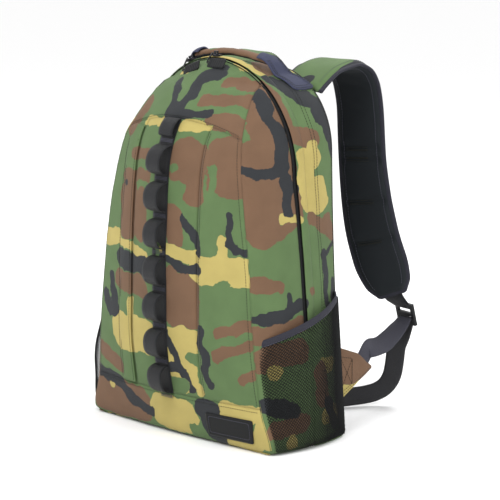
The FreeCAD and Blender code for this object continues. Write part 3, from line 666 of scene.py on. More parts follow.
def camo_cloth():
    """Woven canvas printed in four colours. A colour's border is where its stored distance crosses zero."""
    nodes = Nodes("camo_canvas")
    height, thread = weave(nodes, 1.1)
    fine = nodes.noise(thread, 260.0)
    broad = nodes.noise(thread, 30.0)
    base = GREEN
    for name, shade in (("khaki", KHAKI), ("brown", BROWN), ("dark", DARK)):
        distance = nodes.math("ADD", nodes.field(name)["Fac"], nodes.scaled(fine, 3.0, -1.5))
        base = nodes.mix(nodes.scaled(distance, 2.2, clamp=True), base, shade)
    faded = nodes.scaled(broad, 0.35, 0.80)
    yarn = nodes.scaled(nodes.noise(thread, 1400.0, 2.0), 0.34, faded)
    woven = nodes.scaled(height, 0.07, nodes.math("SUBTRACT", yarn, 0.17))
    tint = nodes.add("ShaderNodeHueSaturation", {"Color": base, "Value": woven})
    soft = nodes.bump(broad, 0.0012, 0.35)
    normal = nodes.bump(height, 0.0003, 0.35, soft)
    return nodes.surface(tint.outputs[0], 0.82, normal, sheen=0.04)


def plain_cloth(name, code, pitch=1.0, roughness=0.8, bump=0.5, sheen=0.02):
    """Woven cloth or webbing in one colour, with slight wear."""
    nodes = Nodes(name)
    height, thread = weave(nodes, pitch)
    broad = nodes.noise(thread, 45.0)
    light = tuple(min(c * 1.5 + 0.002, 1) for c in colour(code)[:3]) + (1.0,)
    worn = nodes.mix(nodes.scaled(broad, 1.4, clamp=True), colour(code), light)
    grain = nodes.scaled(nodes.noise(thread, 1100.0, 2.0), 0.7, 0.65)
    lifted = nodes.scaled(height, 0.14, grain)
    tint = nodes.add("ShaderNodeHueSaturation", {"Color": worn, "Value": lifted})
    soft = nodes.bump(broad, 0.001, 0.3)
    return nodes.surface(tint.outputs[0], roughness, nodes.bump(height, 0.0004, bump, soft), sheen)


def spacer_mesh(name, code):
    """Open air mesh: a honeycomb of small holes, each darkened with painted shade."""
    nodes = Nodes(name)
    thread = nodes.field("thread")["Vector"]
    cells = nodes.add("ShaderNodeTexVoronoi", {"Vector": thread, "Scale": 420.0, "Randomness": 0.12})
    # Painted shade: each hole gets a copy of the mesh colour a quarter as bright. The same mask also drives
    # the bump.
    hole_bump_and_shade = nodes.scaled(cells.outputs["Distance"], 2.2, clamp=True)
    dark = tuple(c * 0.25 for c in colour(code)[:3]) + (1.0,)
    base = nodes.mix(hole_bump_and_shade, dark, colour(code))
    return nodes.surface(base, 0.85, nodes.bump(hole_bump_and_shade, 0.0006, 0.6), sheen=0.02)


def hard(name, code, roughness, metallic=0.0, grain=900.0):
    """Moulded plastic, rubber or cast metal."""
    nodes = Nodes(name)
    place_at = nodes.add("ShaderNodeTexCoord").outputs["Object"]
    speckle = nodes.noise(place_at, grain)
    rough = nodes.scaled(speckle, 0.15, roughness - 0.07)
    return nodes.surface(colour(code), rough, nodes.bump(speckle, 0.0002, 0.25), metallic=metallic)


CAMO = camo_cloth()
LINING = plain_cloth("lining_nylon", "17181A", 0.7)
BLACK_CLOTH = plain_cloth("black_canvas", "111214", 1.0)
WEB = plain_cloth("black_webbing", "0D0E11", 2.2, 0.45, 1.0, 0.04)
NAVY_WEB = plain_cloth("navy_webbing", "2C2F42", 2.2, 0.75, 0.9)
GREY_WEB = plain_cloth("grey_webbing", "2E2E36", 2.2, 0.75, 0.9)
TAIL_WEB = plain_cloth("tail_webbing", "232325", 2.2, 0.75, 0.9)
BINDING = plain_cloth("edge_binding", "1F1F27", 1.2, 0.7, 0.6)
NET = plain_cloth("net_yarn", "070809", 0.8, 0.7, 0.4, 0.0)
AIR_MESH = spacer_mesh("air_mesh", "1A1E21")
THREAD = plain_cloth("dark_thread", "191A15", 0.6, 0.6, 0.3)
LIGHT_THREAD = plain_cloth("light_thread", "3C3C46", 0.6, 0.6, 0.3)
TEETH = hard("zip_teeth", "090A0B", 0.42)
TAPE = plain_cloth("zip_tape", "0B0C0D", 0.8)
RUBBER = hard("pull_rubber", "121315", 0.5)
METAL = hard("slider_metal", "3B3C40", 0.35, 0.85)
PLASTIC = hard("lock_plastic", "101113", 0.4)
LABEL = hard("label_rubber", "0E0F11", 0.45, grain=1500.0)
BOARD = hard("board", "2A2A2A", 0.7)


# ---------------------------------------------------------------- camouflage

# Printed shapes: colour, half width, and the points of a brush stroke, each as x and height.
# "green" rubs out the others.
FRONT_PRINT = (
    ("dark", 6, (-36, 445), (-26, 434), (-20, 422), (-11, 408)), ("dark", 12, (-13, 412), (-11, 406)),
    ("dark", 8, (25, 458), (3, 448), (8, 434), (1, 422), (-1, 409)), ("dark", 5, (5, 408), (48, 413)),
    ("brown", 6, (40, 450), (84, 443)), ("brown", 6, (26, 428), (88, 427)),
    ("brown", 9, (52, 403), (80, 404), (100, 394)), ("brown", 12, (-80, 412), (-92, 395), (-88, 385)),
    ("khaki", 5, (35, 470), (75, 460)), ("khaki", 4, (-50, 455), (-30, 460)),
    ("khaki", 5, (-58, 394), (-15, 402)), ("khaki", 8, (17, 396), (40, 396)),
    ("khaki", 3, (40, 396), (58, 396)),
    ("brown", 7, (-62, 355), (-30, 357)), ("brown", 8, (-82, 327), (-30, 331)),
    ("dark", 4, (-78, 317), (-76, 317)),
    ("brown", 20, (-70, 305), (-68, 265)), ("brown", 14, (-40, 300), (-40, 260)),
    ("khaki", 6, (-85, 240), (-60, 238), (-30, 228)), ("dark", 12, (-84, 220), (-35, 215)),
    ("brown", 14, (-84, 192), (-35, 188)), ("khaki", 24, (-82, 125), (-30, 125)),
    ("khaki", 6, (-62, 150), (-62, 168)), ("khaki", 10, (-130, 238), (-92, 246)),
    ("dark", 8, (-108, 190), (-100, 165), (-98, 145)), ("dark", 8, (-122, 165), (-110, 146)),
    ("brown", 10, (-140, 95), (-92, 75)),
    ("brown", 24, (34, 358), (40, 352)), ("brown", 12, (22, 368), (22, 342)),
    ("brown", 14, (52, 362), (50, 312)),
    ("green", 5, (16, 345), (20, 345)), ("green", 10, (12, 318), (60, 275)),
    ("brown", 14, (20, 290), (28, 262)),
    ("dark", 5, (35, 285), (50, 272), (60, 258), (60, 240)), ("khaki", 9, (8, 245), (35, 240), (55, 238)),
    ("dark", 6, (8, 232), (25, 228), (45, 222), (60, 222)), ("brown", 24, (36, 195), (38, 172)),
    ("brown", 12, (22, 212), (22, 160)), ("brown", 12, (52, 212), (52, 158)),
    ("khaki", 25, (34, 125), (34, 86)), ("khaki", 10, (18, 136), (52, 136)),
    ("dark", 6, (4, 152), (18, 122), (29, 102), (46, 68)), ("dark", 6, (10, 94), (28, 96)),
    ("green", 8, (50, 108), (60, 106)), ("green", 10, (14, 72), (34, 72)),
    ("khaki", 5, (36, 108), (50, 86), (58, 64)),
    ("brown", 22, (90, 368), (96, 338)), ("brown", 12, (76, 374), (80, 330)),
    ("brown", 8, (100, 322), (118, 326)),
    ("green", 5, (74, 348), (78, 315)), ("dark", 5, (103, 292), (105, 262), (114, 252), (130, 250)),
    ("khaki", 19, (66, 222), (130, 225)), ("khaki", 8, (97, 240), (97, 262)),
    ("green", 8, (90, 200), (100, 205)),
    ("dark", 6, (66, 150), (62, 130), (72, 118), (69, 97), (77, 78)),
    ("brown", 7, (90, 146), (115, 154), (140, 164)), ("brown", 8, (88, 118), (115, 128), (143, 138)),
    ("brown", 7, (124, 92), (148, 102)),
    ("brown", 26, (-140, 30), (-60, 30)), ("dark", 8, (-150, 62), (-100, 52), (-72, 35), (-40, 22)),
    ("khaki", 5, (-118, 46), (-116, 46)), ("khaki", 24, (-15, 30), (25, 28)),
    ("green", 9, (40, 10), (44, 10)),
    ("dark", 12, (58, 45), (75, 45)), ("dark", 14, (65, 30), (80, 12)), ("khaki", 12, (95, 48), (150, 50)),
    ("khaki", 13, (98, 5), (160, 20)), ("khaki", 12, (150, 30), (156, 30)),
)
# The same for the right gussets, as distance behind the zip and height, where x is over SIDE_PRINT_START.
SIDE_PRINT_START = 72
SIDE_PRINT = (
    ("brown", 26, (-20, 430), (-24, 392)), ("brown", 36, (-40, 350), (-34, 300)),
    ("brown", 22, (-60, 330), (-55, 275)),
    ("dark", 9, (-16, 432), (-24, 415), (-15, 392), (-18, 371), (-23, 348)),
    ("dark", 6, (-23, 346), (-48, 342), (-72, 350)), ("dark", 7, (-20, 338), (-6, 325)),
    ("dark", 7, (-20, 335), (-18, 318), (-18, 294)), ("khaki", 6, (-28, 286), (-6, 287)),
    ("green", 16, (-64, 234), (-8, 243)), ("brown", 9, (-75, 212), (-42, 205)),
    ("dark", 8, (-72, 168), (-40, 168), (-8, 182)), ("dark", 5, (-27, 172), (-25, 195)),
    ("brown", 10, (-75, 148), (-12, 156)), ("brown", 16, (-70, 118), (-15, 122)),
    ("khaki", 9, (-55, 102), (-52, 100)),
    ("khaki", 9, (-40, 12), (-36, 12)), ("dark", 10, (-70, 62), (-30, 50)),
    ("brown", 12, (-60, 30), (-14, 34)),
    ("dark", 9, (10, 452), (28, 434), (50, 425), (66, 415)), ("dark", 12, (52, 408), (68, 400)),
    ("dark", 9, (62, 395), (68, 360)), ("brown", 12, (6, 385), (30, 380)),
    ("khaki", 14, (12, 358), (14, 305)), ("khaki", 10, (28, 368), (30, 355)),
    ("khaki", 12, (35, 325), (42, 302)), ("khaki", 12, (20, 300), (38, 300)),
    ("brown", 8, (15, 284), (60, 262)), ("brown", 10, (50, 275), (66, 255)),
    ("dark", 4, (65, 248), (45, 238)),
    ("dark", 6, (38, 238), (42, 215), (35, 190), (45, 172)), ("dark", 8, (60, 195), (62, 178)),
    ("brown", 6, (10, 195), (12, 195)), ("khaki", 9, (24, 97), (42, 97)), ("khaki", 12, (30, 33), (46, 33)),
    ("brown", 14, (20, 90), (24, 60)), ("dark", 8, (34, 50), (44, 20)),
)


def stroke_distance(points, stroke):
    """How far inside a brush stroke each point lies."""
    best = np.full(len(points), 1e9)
    for start, end in zip(stroke[2:-1], stroke[3:]):
        a, b = np.array(start, float), np.array(end, float)
        share = np.clip((points - a) @ (b - a) / max((b - a) @ (b - a), 1e-9), 0, 1)
        best = np.minimum(best, np.linalg.norm(points - a - share[:, None] * (b - a), axis=1))
    return stroke[1] - best


def print_fields(flat, strokes):
    """Distance inside each colour at points of a plane, with wavering borders."""
    solid = np.concatenate([flat, np.zeros((len(flat), 1))], axis=1)
    waver = [wobble(solid, 17, seed) * 4.5 + wobble(solid, 6, seed + 4) * 2.2 for seed in (1, 2)]
    moved = flat + np.stack(waver, -1)
    fields = {name: np.full(len(flat), -30.0) for name in ("khaki", "brown", "dark")}
    for stroke in strokes:
        inside = stroke_distance(moved, stroke)
        if stroke[0] == "green":
            for name in fields:
                fields[name] = np.minimum(fields[name], -inside)
        else:
            fields[stroke[0]] = np.maximum(fields[stroke[0]], inside)
            if stroke[0] == "khaki":
                fields["brown"] = np.minimum(fields["brown"], -inside)
    return fields


def free_fields(points, seed=0):
    """The same print where no part of it is prescribed."""
    stretched = points * np.array([1.0, 1.0, 1.6])
    return {
        "khaki": wobble(stretched, 48, seed + 11) * 60 - 14,
        "brown": wobble(stretched, 52, seed + 12) * 60 - 7,
        "dark": wobble(stretched, 40, seed + 13) * 60 - 16,
    }


def print_camo(piece, kind="free", seed=0):
    """Stores the print on a piece and gives it the camouflage cloth."""
    points = positions(piece) / MM
    if kind == "front":
        fields = print_fields(points[:, [0, 2]], FRONT_PRINT)
    else:
        fields = free_fields(points, seed)
    if kind == "side":
        drawn = print_fields(points[:, [1, 2]], SIDE_PRINT)
        right = points[:, 0] > SIDE_PRINT_START
        fields = {name: np.where(right, drawn[name], fields[name]) for name in fields}
    for name, values in fields.items():
        store(piece, name, values)
    piece.data.materials.clear()
    piece.data.materials.append(CAMO)
    return piece


def dressed(piece, material, body=None, replaced=()):
    """Material, body, and the CAD parts it stands for."""
    if material is not None and not piece.data.materials:
        piece.data.materials.append(material)
    if "thread" not in piece.data.attributes:
        store(piece, "thread", positions(piece))
    if body is not None:
        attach(piece, body)
    if replaced:
        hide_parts(*replaced)
    return piece


def shell(piece, replaced=(), body=None, kind="side", seed=3, thickness=CLOTH):
    """Finishes a panel of the shell. With no body of its own, it only has its transform baked."""
    print_camo(thicken(piece, thickness), kind, seed)
    if body is None:
        fold_over(piece)
    return dressed(piece, None, body, replaced)


def pad_mesh(name, middle, normal, half):
    """A closed pad from a grid of middle points, its normals, and half its thickness at each point."""
    rows, columns = middle.shape[:2]
    top = (middle + normal * half[..., None]).reshape(-1, 3)
    bottom = (middle - normal * half[..., None]).reshape(-1, 3)
    count = rows * columns
    faces = grid_faces(rows, columns)
    faces += [tuple(count + i for i in face[::-1]) for face in grid_faces(rows, columns)]
    ring = [i * columns for i in range(rows)] + [(rows - 1) * columns + j for j in range(1, columns)]
    ring += [i * columns + columns - 1 for i in range(rows - 2, -1, -1)] + list(range(columns - 2, 0, -1))
    for a, b in zip(ring, ring[1:] + ring[:1]):
        faces.append((a, a + count, b + count, b))
    piece = face_outwards(new_piece(name, np.concatenate([top, bottom]) * MM, faces))
    thread = thread_grid(middle)
    store(piece, "thread", np.concatenate([thread, thread]))
    return piece


def upright_pad(name, middle, axis, half):
    """A closed pad whose thickness lies along one axis."""
    normal = np.zeros_like(middle)
    normal[..., axis] = 1
    return pad_mesh(name, middle, normal, half)


def subdivide(piece):
    """One level of subdivision, kept on the mesh."""
    modifier = piece.modifiers.new("smooth", "SUBSURF")
    modifier.levels = 1
    modifier.render_levels = 1
    return bake_modifiers(piece)


# ---------------------------------------------------------------- front of the bag


def edge_fall(share_a, share_b, length_a, length_b, reach=2.8, fall=1.1):
    """How far cloth dips beside the seams on its four edges."""
    near_a = np.minimum(share_a, 1 - share_a) * length_a
    near_b = np.minimum(share_b, 1 - share_b) * length_b
    near = np.minimum(near_a, near_b)
    return fall * np.exp(-((near / reach) ** 2))


def sewn_panel(name, make, length_a, length_b, seed, crown=0.0, size=0.7, reverse=False):
    """A panel of cloth that dips to its seams and wrinkles a little. make gives points from two shares."""
    rows = max(int(length_a / GRID), 4)
    columns = max(int(length_b / GRID), 4)
    a, b = np.meshgrid(np.linspace(0, 1, rows), np.linspace(0, 1, columns), indexing="ij")
    points = make(a, b)
    normal = normals_of(points) * (-1 if reverse else 1)
    inside = np.sqrt(np.clip(16 * a * (1 - a) * b * (1 - b), 0, 1))
    depth = crown * inside - edge_fall(a, b, length_a, length_b)
    depth += inside * (wobble(points, 36, seed) * size * 1.5 + wobble(points, 14, seed + 9) * size * 0.45)
    near = np.minimum(a, 1 - a) * length_a
    depth += 0.55 * wobble(points * np.array([1, 1, 2.2]), 16, seed + 5) * np.exp(-(((near - 7) / 7) ** 2))
    piece = grid_piece(name, points + normal * depth[..., None])
    if reverse:
        piece.data.flip_normals()
    return piece


def front_panel_piece(name, low_x, high_x, low_z, high_z, seed, crown=1.5):
    """A panel of the front face between two upright lines and two cross lines, each a function."""

    def make(a, b):
        z_guess = BAND_TOP + (YOKE_SIDE - BAND_TOP) * b
        x = low_x(z_guess) + (high_x(z_guess) - low_x(z_guess)) * a
        z = low_z(x) + (high_z(x) - low_z(x)) * b
        x = low_x(z) + (high_x(z) - low_x(z)) * a
        return face_at(x, z)

    width = abs(float(high_x(200.0) - low_x(200.0)))
    return sewn_panel(name, make, width, float(high_z(0.0) - low_z(0.0)), seed, crown)


def level(value):
    """A line that stays at one value."""
    return lambda at: value + 0 * at


def seam_x(side):
    """The seam between the front and a front gusset, as x for each height."""
    return lambda z: side * station(z, 1)


def strip_x(side):
    """A seam beside the centre panel, as x for each height."""
    return lambda z: side * strip_half(z)


def build_front():
    """The three panels above the bottom band, the band, and the yoke over them."""
    panels = (
        ("front_centre_panel", strip_x(-1), strip_x(1), 21, ["front_panel", "front_panel_lower"]),
        ("front_right_panel", strip_x(1), seam_x(1), 22, ()),
        ("front_left_panel", seam_x(-1), strip_x(-1), 23, ()),
    )
    made = []
    for name, low_x, high_x, seed, replaced in panels:
        piece = front_panel_piece(name, low_x, high_x, level(BAND_TOP), yoke_line, seed)
        made.append(shell(piece, replaced, kind="front"))

    def band_points(a, b):
        z = b * BAND_TOP
        return face_at((2 * a - 1) * station(z, 1), z)

    def yoke_points(a, b):
        t = 2 * a - 1
        low = yoke_line(t * YOKE_HALF)
        z = low + (FRONT_TOP - low) * (1 - (1 - b) ** 1.6)
        return face_at(t * station(z, 1), z)

    band = sewn_panel("bottom_band", band_points, 320, BAND_TOP, 24, 1.0)
    yoke = sewn_panel("yoke", yoke_points, 200, 100, 25, 1.0)
    shell(band, ["front_band"], "bag", "front")
    shell(yoke, ["front_yoke"], "front", "front")
    return made, band, yoke


def build_pocket_flap():
    """The strip that covers the upright pocket zip on the left of the front."""
    z, t = np.meshgrid(np.linspace(BAND_TOP + 2, YOKE_SIDE + 6, 110), np.linspace(0, 1, 12), indexing="ij")
    points = face_at(-strip_half(z) - 26 * t, z)
    points[..., 1] -= 1.0 + 0.8 * np.sin(math.pi * t) + 0.5 * wobble(points, 30, 31) * t
    flap = grid_piece("pocket_zip_flap", points)
    flap.data.flip_normals()
    return shell(flap, kind="front", thickness=1.3)


def build_front_gussets():
    """The two sides in front of the zip."""
    for side, word in SIDES:
        def make(a, b):
            return gusset_at(a, 446 * b) * np.array([side, 1, 1])

        name = "front_gusset_" + word + "_cloth"
        gusset = sewn_panel(name, make, 72, 446, 26 + side, 1.5, 0.9, side < 0)
        shell(gusset, ["front_gusset_" + word, "front_gusset_lower_" + word])


# ---------------------------------------------------------------- rear of the bag


def around(count, start=0.0):
    """Places along the outline, from the right side over the top to the left side."""
    right = np.linspace(start, 3, count)
    return np.concatenate([right, -right[-2::-1]])


def build_rear_gusset():
    """The long strip behind the zip, over the top and down both sides."""
    y = np.linspace(ZIP_HALF, REAR_DEPTH, 22)
    grid_w, grid_y = np.meshgrid(around(230), y, indexing="ij")
    points = rear_at(grid_w, grid_y)
    share = (grid_y - ZIP_HALF) / (REAR_DEPTH - ZIP_HALF)
    inside = np.sin(math.pi * share)
    calm = np.clip((468 - points[..., 2]) / 30, 0.0, 1)  # less wrinkled under the handle
    depth = inside * calm * (1.2 + wobble(points, 40, 41) * 1.3 + wobble(points, 15, 42) * 0.4)
    depth -= (1 - calm) * 1.5 * inside + 1.2 * np.exp(-(((1 - share) * 64 / 3.5) ** 2))
    normal = normals_of(points)
    if normal[10, 10, 0] < 0:
        normal = -normal
    gusset = grid_piece("rear_gusset_cloth", points + normal * depth[..., None])
    return shell(face_out(gusset), ["rear_gusset"], "bag", thickness=1.3)


def face_out(piece):
    """Turns a sheet's faces away from the middle of the bag."""
    middle = Vector((0, 0, 235)) * MM
    total = sum((p.center - middle).dot(p.normal) * p.area for p in piece.data.polygons)
    if total < 0:
        piece.data.flip_normals()
    return piece


def build_storm_flap():
    """The folded strip beside the zip: it rises from the rear gusset and hangs over the coil."""
    profile = ((13, 0.4), (11, 1.5), (8.5, 2.2), (5, 2.4), (1, 2.3), (-1.6, 1.9), (-2.1, 1.2), (-1.2, 0.9),
               (3, 1.1), (8, 0.9))
    w = around(300, 0.44)
    rows = []
    for y, out in profile:
        base = rear_at(w, max(y, 0.0), 0.0)
        spread = rear_at(w, max(y, 0.0), 1.0) - base
        row = base + spread * out * (1 + 0.12 * wobble(base, 22, 45)[:, None])
        row[:, 1] = y + 0.5 * wobble(base, 30, 46) * (1 if y < 6 else 0)
        rows.append(row)
    flap = grid_piece("storm_flap", np.stack(rows, axis=1))
    return shell(face_out(flap), ["zip_flap"], "bag", thickness=0.5)


def build_zip():
    """Two tapes and the coil sewn to each, all round the opening."""
    w = around(300, 0.446)
    step, pitch, coil_y = 0.32, 1.9, 1.25
    for word, side, body in (("front", -1, None), ("rear", 1, "bag")):
        rows = [zip_at(w, side * y, -1.2) for y in (0.5, 3.0, 6.0)]
        tape = thicken(grid_piece("zip_tape_cloth_" + word, np.stack(rows, axis=1)), 0.6)
        dressed(tape, TAPE, body, ["zip_tape_" + word])
        line = evenly(zip_at(w, side * coil_y, 0.0), step)
        turn = np.arange(len(line)) * (2 * math.pi * step / pitch)
        outward = line * np.array([1, 0, 1]) - np.array([0, 0, ARCH_CENTRE])
        outward[:, 2] = np.maximum(outward[:, 2], 0)
        outward = unit(outward)
        helix = line + outward * (np.sin(turn) * 0.55)[:, None]
        helix[:, 1] += np.cos(turn) * 1.0
        coil = tube("zip_coil_" + word, helix, 0.28, sides=4)
        dressed(coil, TEETH, body)
        if body is None:
            fold_over(tape)
            fold_over(coil)


def build_side_strips():
    """The cloth that closes each side below the ends of the zip."""
    for side, word in SIDES:
        w, y = np.meshgrid(np.linspace(0.003, 0.46, 50) * side, np.linspace(-7, 7, 9), indexing="ij")
        points = zip_at(w, y, 0.0)
        points[..., 0] -= side * (1.0 + 0.9 * np.exp(-((y / 1.6) ** 2)))
        strip = grid_piece("side_strip_" + word, points)
        shell(face_out(strip), (), "bag", thickness=0.8)


def build_base():
    """The cloth the bag stands on."""
    y, t = np.meshgrid(np.linspace(-70, REAR_DEPTH - 1, 40), np.linspace(-1, 1, 70), indexing="ij")
    front = 158 + (SIDE_BASE - 158) * (y + 67) / 67
    rear = SIDE_BASE + (REAR_HALVES[0] - SIDE_BASE) * y / REAR_DEPTH
    half = np.where(y < 0, front, rear)
    z = 1.2 + 0.4 * wobble(np.stack([t * half, y, 0 * y], -1), 30, 47)
    base = grid_piece("base_cloth", np.stack([t * (half - 1), y, z], -1))
    if base.data.polygons[0].normal.z > 0:
        base.data.flip_normals()
    shell(base, ["base_panel"], "bag", "free", 5, 0.8)


def back_half(z):
    """Half width of the back panel at height z."""
    rise = np.clip(z - REAR_BEND, 0, REAR_CORNER)
    high = REAR_HALVES[2] - REAR_CORNER + np.sqrt(REAR_CORNER**2 - rise**2)
    return np.where(z > REAR_BEND, high, rear_half(np.clip(z / REAR_BEND, 0, 1)))


def groove(distance):
    """Depth of a sewn channel in the back pad, at this distance from its middle."""
    return 5.2 * np.exp(-((distance / 5) ** 2))


def build_back():
    """The back panel, and its pad with two upright and three cross channels."""
    z, t = np.meshgrid(np.linspace(1, REAR_TOP - 0.5, 120), np.linspace(-1, 1, 80), indexing="ij")
    back = grid_piece("back_cloth", np.stack([t * (back_half(z) - 0.5), REAR_DEPTH - 0.2 + 0 * z, z], -1))
    if back.data.polygons[0].normal.y < 0:
        back.data.flip_normals()
    dressed(thicken(back, 1.0), BLACK_CLOTH, "bag", ["back_panel"])

    low, high, wide = 20, 421, 134
    z, x = np.meshgrid(np.linspace(low, high, 110), np.linspace(-wide, wide, 76), indexing="ij")
    limit = np.minimum(wide, back_half(np.minimum(z + 6, 455)) - 5)
    x = x / wide * limit
    edge = np.minimum(np.minimum(z - low, high - z), limit - np.abs(x))
    height = 7.5 * np.sqrt(np.clip(edge / 12, 0, 1)) * np.clip(edge / 1.5, 0.25, 1)
    height -= groove(np.abs(x) - 38) * (edge > 3)
    for channel_z in (110, 215, 320):
        height -= groove(z - channel_z - 8 * (np.abs(x) / wide) ** 2) * (edge > 3)
    height = np.maximum(height, 0.6)
    pad = upright_pad("back_pad", np.stack([x, REAR_DEPTH + 1.6 + height / 2, z], -1), 1, height / 2)
    held = np.where((height < 1.6).ravel(), 1.0, 0.0)
    settle(pad, np.concatenate([held, np.ones(held.size)]), 2.5)
    subdivide(pad)
    dressed(pad, AIR_MESH, "bag", ["back_foam", "back_mesh"])


# ---------------------------------------------------------------- webbing, label and pockets on the outside


def build_daisy_chain():
    """Webbing sewn flat up the middle of the front, with a row of standing loops."""
    z = np.linspace(BAND_TOP + 1, CHAIN_TOP, 150)
    base = face_at(0 * z, z) + np.array([0, -1.2, 0])
    parts = [ribbon("daisy_chain_strip", base, np.tile([1.0, 0, 0], (len(z), 1)), 1.5)]
    u = np.linspace(0, 1, 26)
    for number in range(LOOPS):
        low = LOOP_BASE + number * LOOP_PITCH
        last = number == LOOPS - 1
        reach = 7.0 if last else LOOP_REACH + 3.5
        tall = CHAIN_TOP - low if last else LOOP_HEIGHT
        height = low + tall * u - 2.5 * np.sin(2 * math.pi * u) * tall / LOOP_HEIGHT
        path = face_at(0 * height, height) + np.array([0, -2.6, 0])
        path[:, 1] -= reach * np.sin(math.pi * u) ** 0.62
        path[:, 0] += 0.6 * math.sin(number * 2.1) * np.sin(math.pi * u)
        parts.append(ribbon("loop", path, np.tile([1.0, 0, 0], (len(u), 1)), 1.5))
    chain = fold_over(merged("daisy_chain", parts))
    dressed(chain, WEB, None, ["daisy_chain_upper", "daisy_chain_lower"])
    build_chain_tacks()


def build_chain_tacks():
    """Three rows of thread at the foot of each loop."""
    x = np.linspace(-10.5, 10.5, 22)
    zigzag = 0.35 * (np.arange(len(x)) % 2)
    parts = []
    for number in range(LOOPS):
        for lift in (-1.6, 0, 1.6):
            z = np.full(len(x), LOOP_BASE - 5.2 + number * LOOP_PITCH + lift)
            y = face_at(0 * x, z)[:, 1] - 2.2 + zigzag
            parts.append(tube_mesh(np.stack([x, y, z], -1), 0.4, sides=5))
    tacks = fold_over(joined("daisy_chain_bar_tacks", parts))
    dressed(tacks, LIGHT_THREAD)


def merged(name, pieces):
    """Several pieces made into one, with what they store."""
    bpy.ops.object.select_all(action="DESELECT")
    for piece in pieces:
        piece.select_set(True)
    bpy.context.view_layer.objects.active = pieces[0]
    bpy.ops.object.join()
    pieces[0].name = name
    pieces[0].data.name = name
    return pieces[0]


def build_label():
    """A plain moulded label with a raised rim, sewn to the bottom band."""
    wide, tall, radius = 37, 15, 3
    u, v = np.meshgrid(np.linspace(-1, 1, 60), np.linspace(-1, 1, 30), indexing="ij")
    normal = normals_of(face_at(LABEL_X + wide * u, LABEL_Z + tall * v))
    normal *= np.sign(-normal[5, 5, 1])
    past_x = np.maximum(np.abs(u) * wide - (wide - radius), 0)
    past_z = np.maximum(np.abs(v) * tall - (tall - radius), 0)
    past = past_x**2 + past_z**2
    outside = past > radius**2
    pull_in = np.where(outside, radius / np.sqrt(np.maximum(past, 1e-6)), 1.0)
    x = np.where(outside, wide - radius + past_x * pull_in, np.abs(u) * wide)
    z = np.where(outside, tall - radius + past_z * pull_in, np.abs(v) * tall)
    edge = np.minimum(wide - x, tall - z)
    half = 0.75 + 0.35 * np.exp(-(((edge - 2.4) / 0.8) ** 2))
    half[edge < 0.4] = 0.4
    middle = face_at(LABEL_X + np.sign(u) * x, LABEL_Z + np.sign(v) * z)
    label = pad_mesh("label_patch", middle + normal * 1.6, normal, half)
    dressed(label, LABEL, "bag", ["label"])
    corners = ((-1, -1), (1, -1), (1, 1), (-1, 1), (-1, -1))
    rim = evenly(np.array([(LABEL_X + i * 32.5, 0, LABEL_Z + j * 10.5) for i, j in corners]), 2.0)
    rim = face_at(rim[:, 0], rim[:, 2]) + np.array([0, -3, 0])
    dressed(stitches("label_stitching", label, [rim], LIGHT_THREAD, 0.1, FORWARD, 3.0), None, "bag")


def pocket_top(y):
    """Height of a side pocket's sloping top edge."""
    return 135 + 55 * (y + 90) / 170


def pocket_wall(s, z, full=0.0):
    """Point of the right side pocket's mesh: s runs from its front edge to its rear edge."""
    seam, depth = station(z, 1) + 3, -station(z, 2) + 6
    taper = np.minimum(z / (REAR_BEND / 2), 1.0)
    rear = REAR_HALVES[0] + (REAR_HALVES[1] - REAR_HALVES[0]) * taper + 4
    bulge = smooth(z, np.array([0, 14, 60, 130, 200.0]), np.array([4, 9.6, 12, 12, 9.0]))
    side = side_half(z) + bulge
    slack = full * np.exp(-(((s - 0.16) / 0.16) ** 2)) * np.sin(math.pi * np.minimum(z / 140, 1))
    slack = slack * np.minimum(s / 0.03, 1)
    # A curve through the front edge, a point beside the zip, and the rear edge.
    rear_y = REAR_DEPTH - 1
    middle_x = 2 * side - (seam + rear) / 2
    middle_y = 2 * 4.0 - (depth + rear_y) / 2
    x = (1 - s) ** 2 * seam + 2 * s * (1 - s) * middle_x + s**2 * rear + slack
    y = (1 - s) ** 2 * depth + 2 * s * (1 - s) * middle_y + s**2 * rear_y
    return np.stack([x, y, z + 0 * s], -1)


def pocket_height(s, share):
    """Height at this share of the way from the floor edge to just under the sloping top."""
    low, gap = 3, 7
    z = low + 130 * share
    for _ in range(3):
        z = low + (pocket_top(pocket_wall(s, z)[..., 1]) - gap - low) * share
    return z


def net_mesh(name, across, up, side, full):
    """A net of open diamond cells, each thread a thin strip."""
    vertices, index = [], {}
    for j in range(2 * up + 1):
        for i in range(across + 1):
            s = (i + 0.5 * (j % 2)) / across
            if s > 1:
                continue
            index[(i, j)] = len(vertices)
            z = pocket_height(np.array(s), j / (2 * up))
            point = pocket_wall(np.array(s), z, full)
            slack = 1.6 * noise.noise(Vector(point) * 0.03) * math.sin(math.pi * s)
            vertices.append((side * (point[0] + slack), point[1], point[2]))
    faces = []
    for j in range(2 * up - 1):
        for i in range(across + 1):
            left = i - 1 if j % 2 == 0 else i
            ring = [(i, j), (left + 1, j + 1), (i, j + 2), (left, j + 1)]
            if all(corner in index for corner in ring):
                faces.append([index[corner] for corner in ring])
    net = new_piece(name, np.array(vertices) * MM, faces)
    wire = net.modifiers.new("threads", "WIREFRAME")
    wire.thickness = NET_THREAD * MM
    wire.use_even_offset = False
    wire.use_boundary = True
    return bake_modifiers(net)


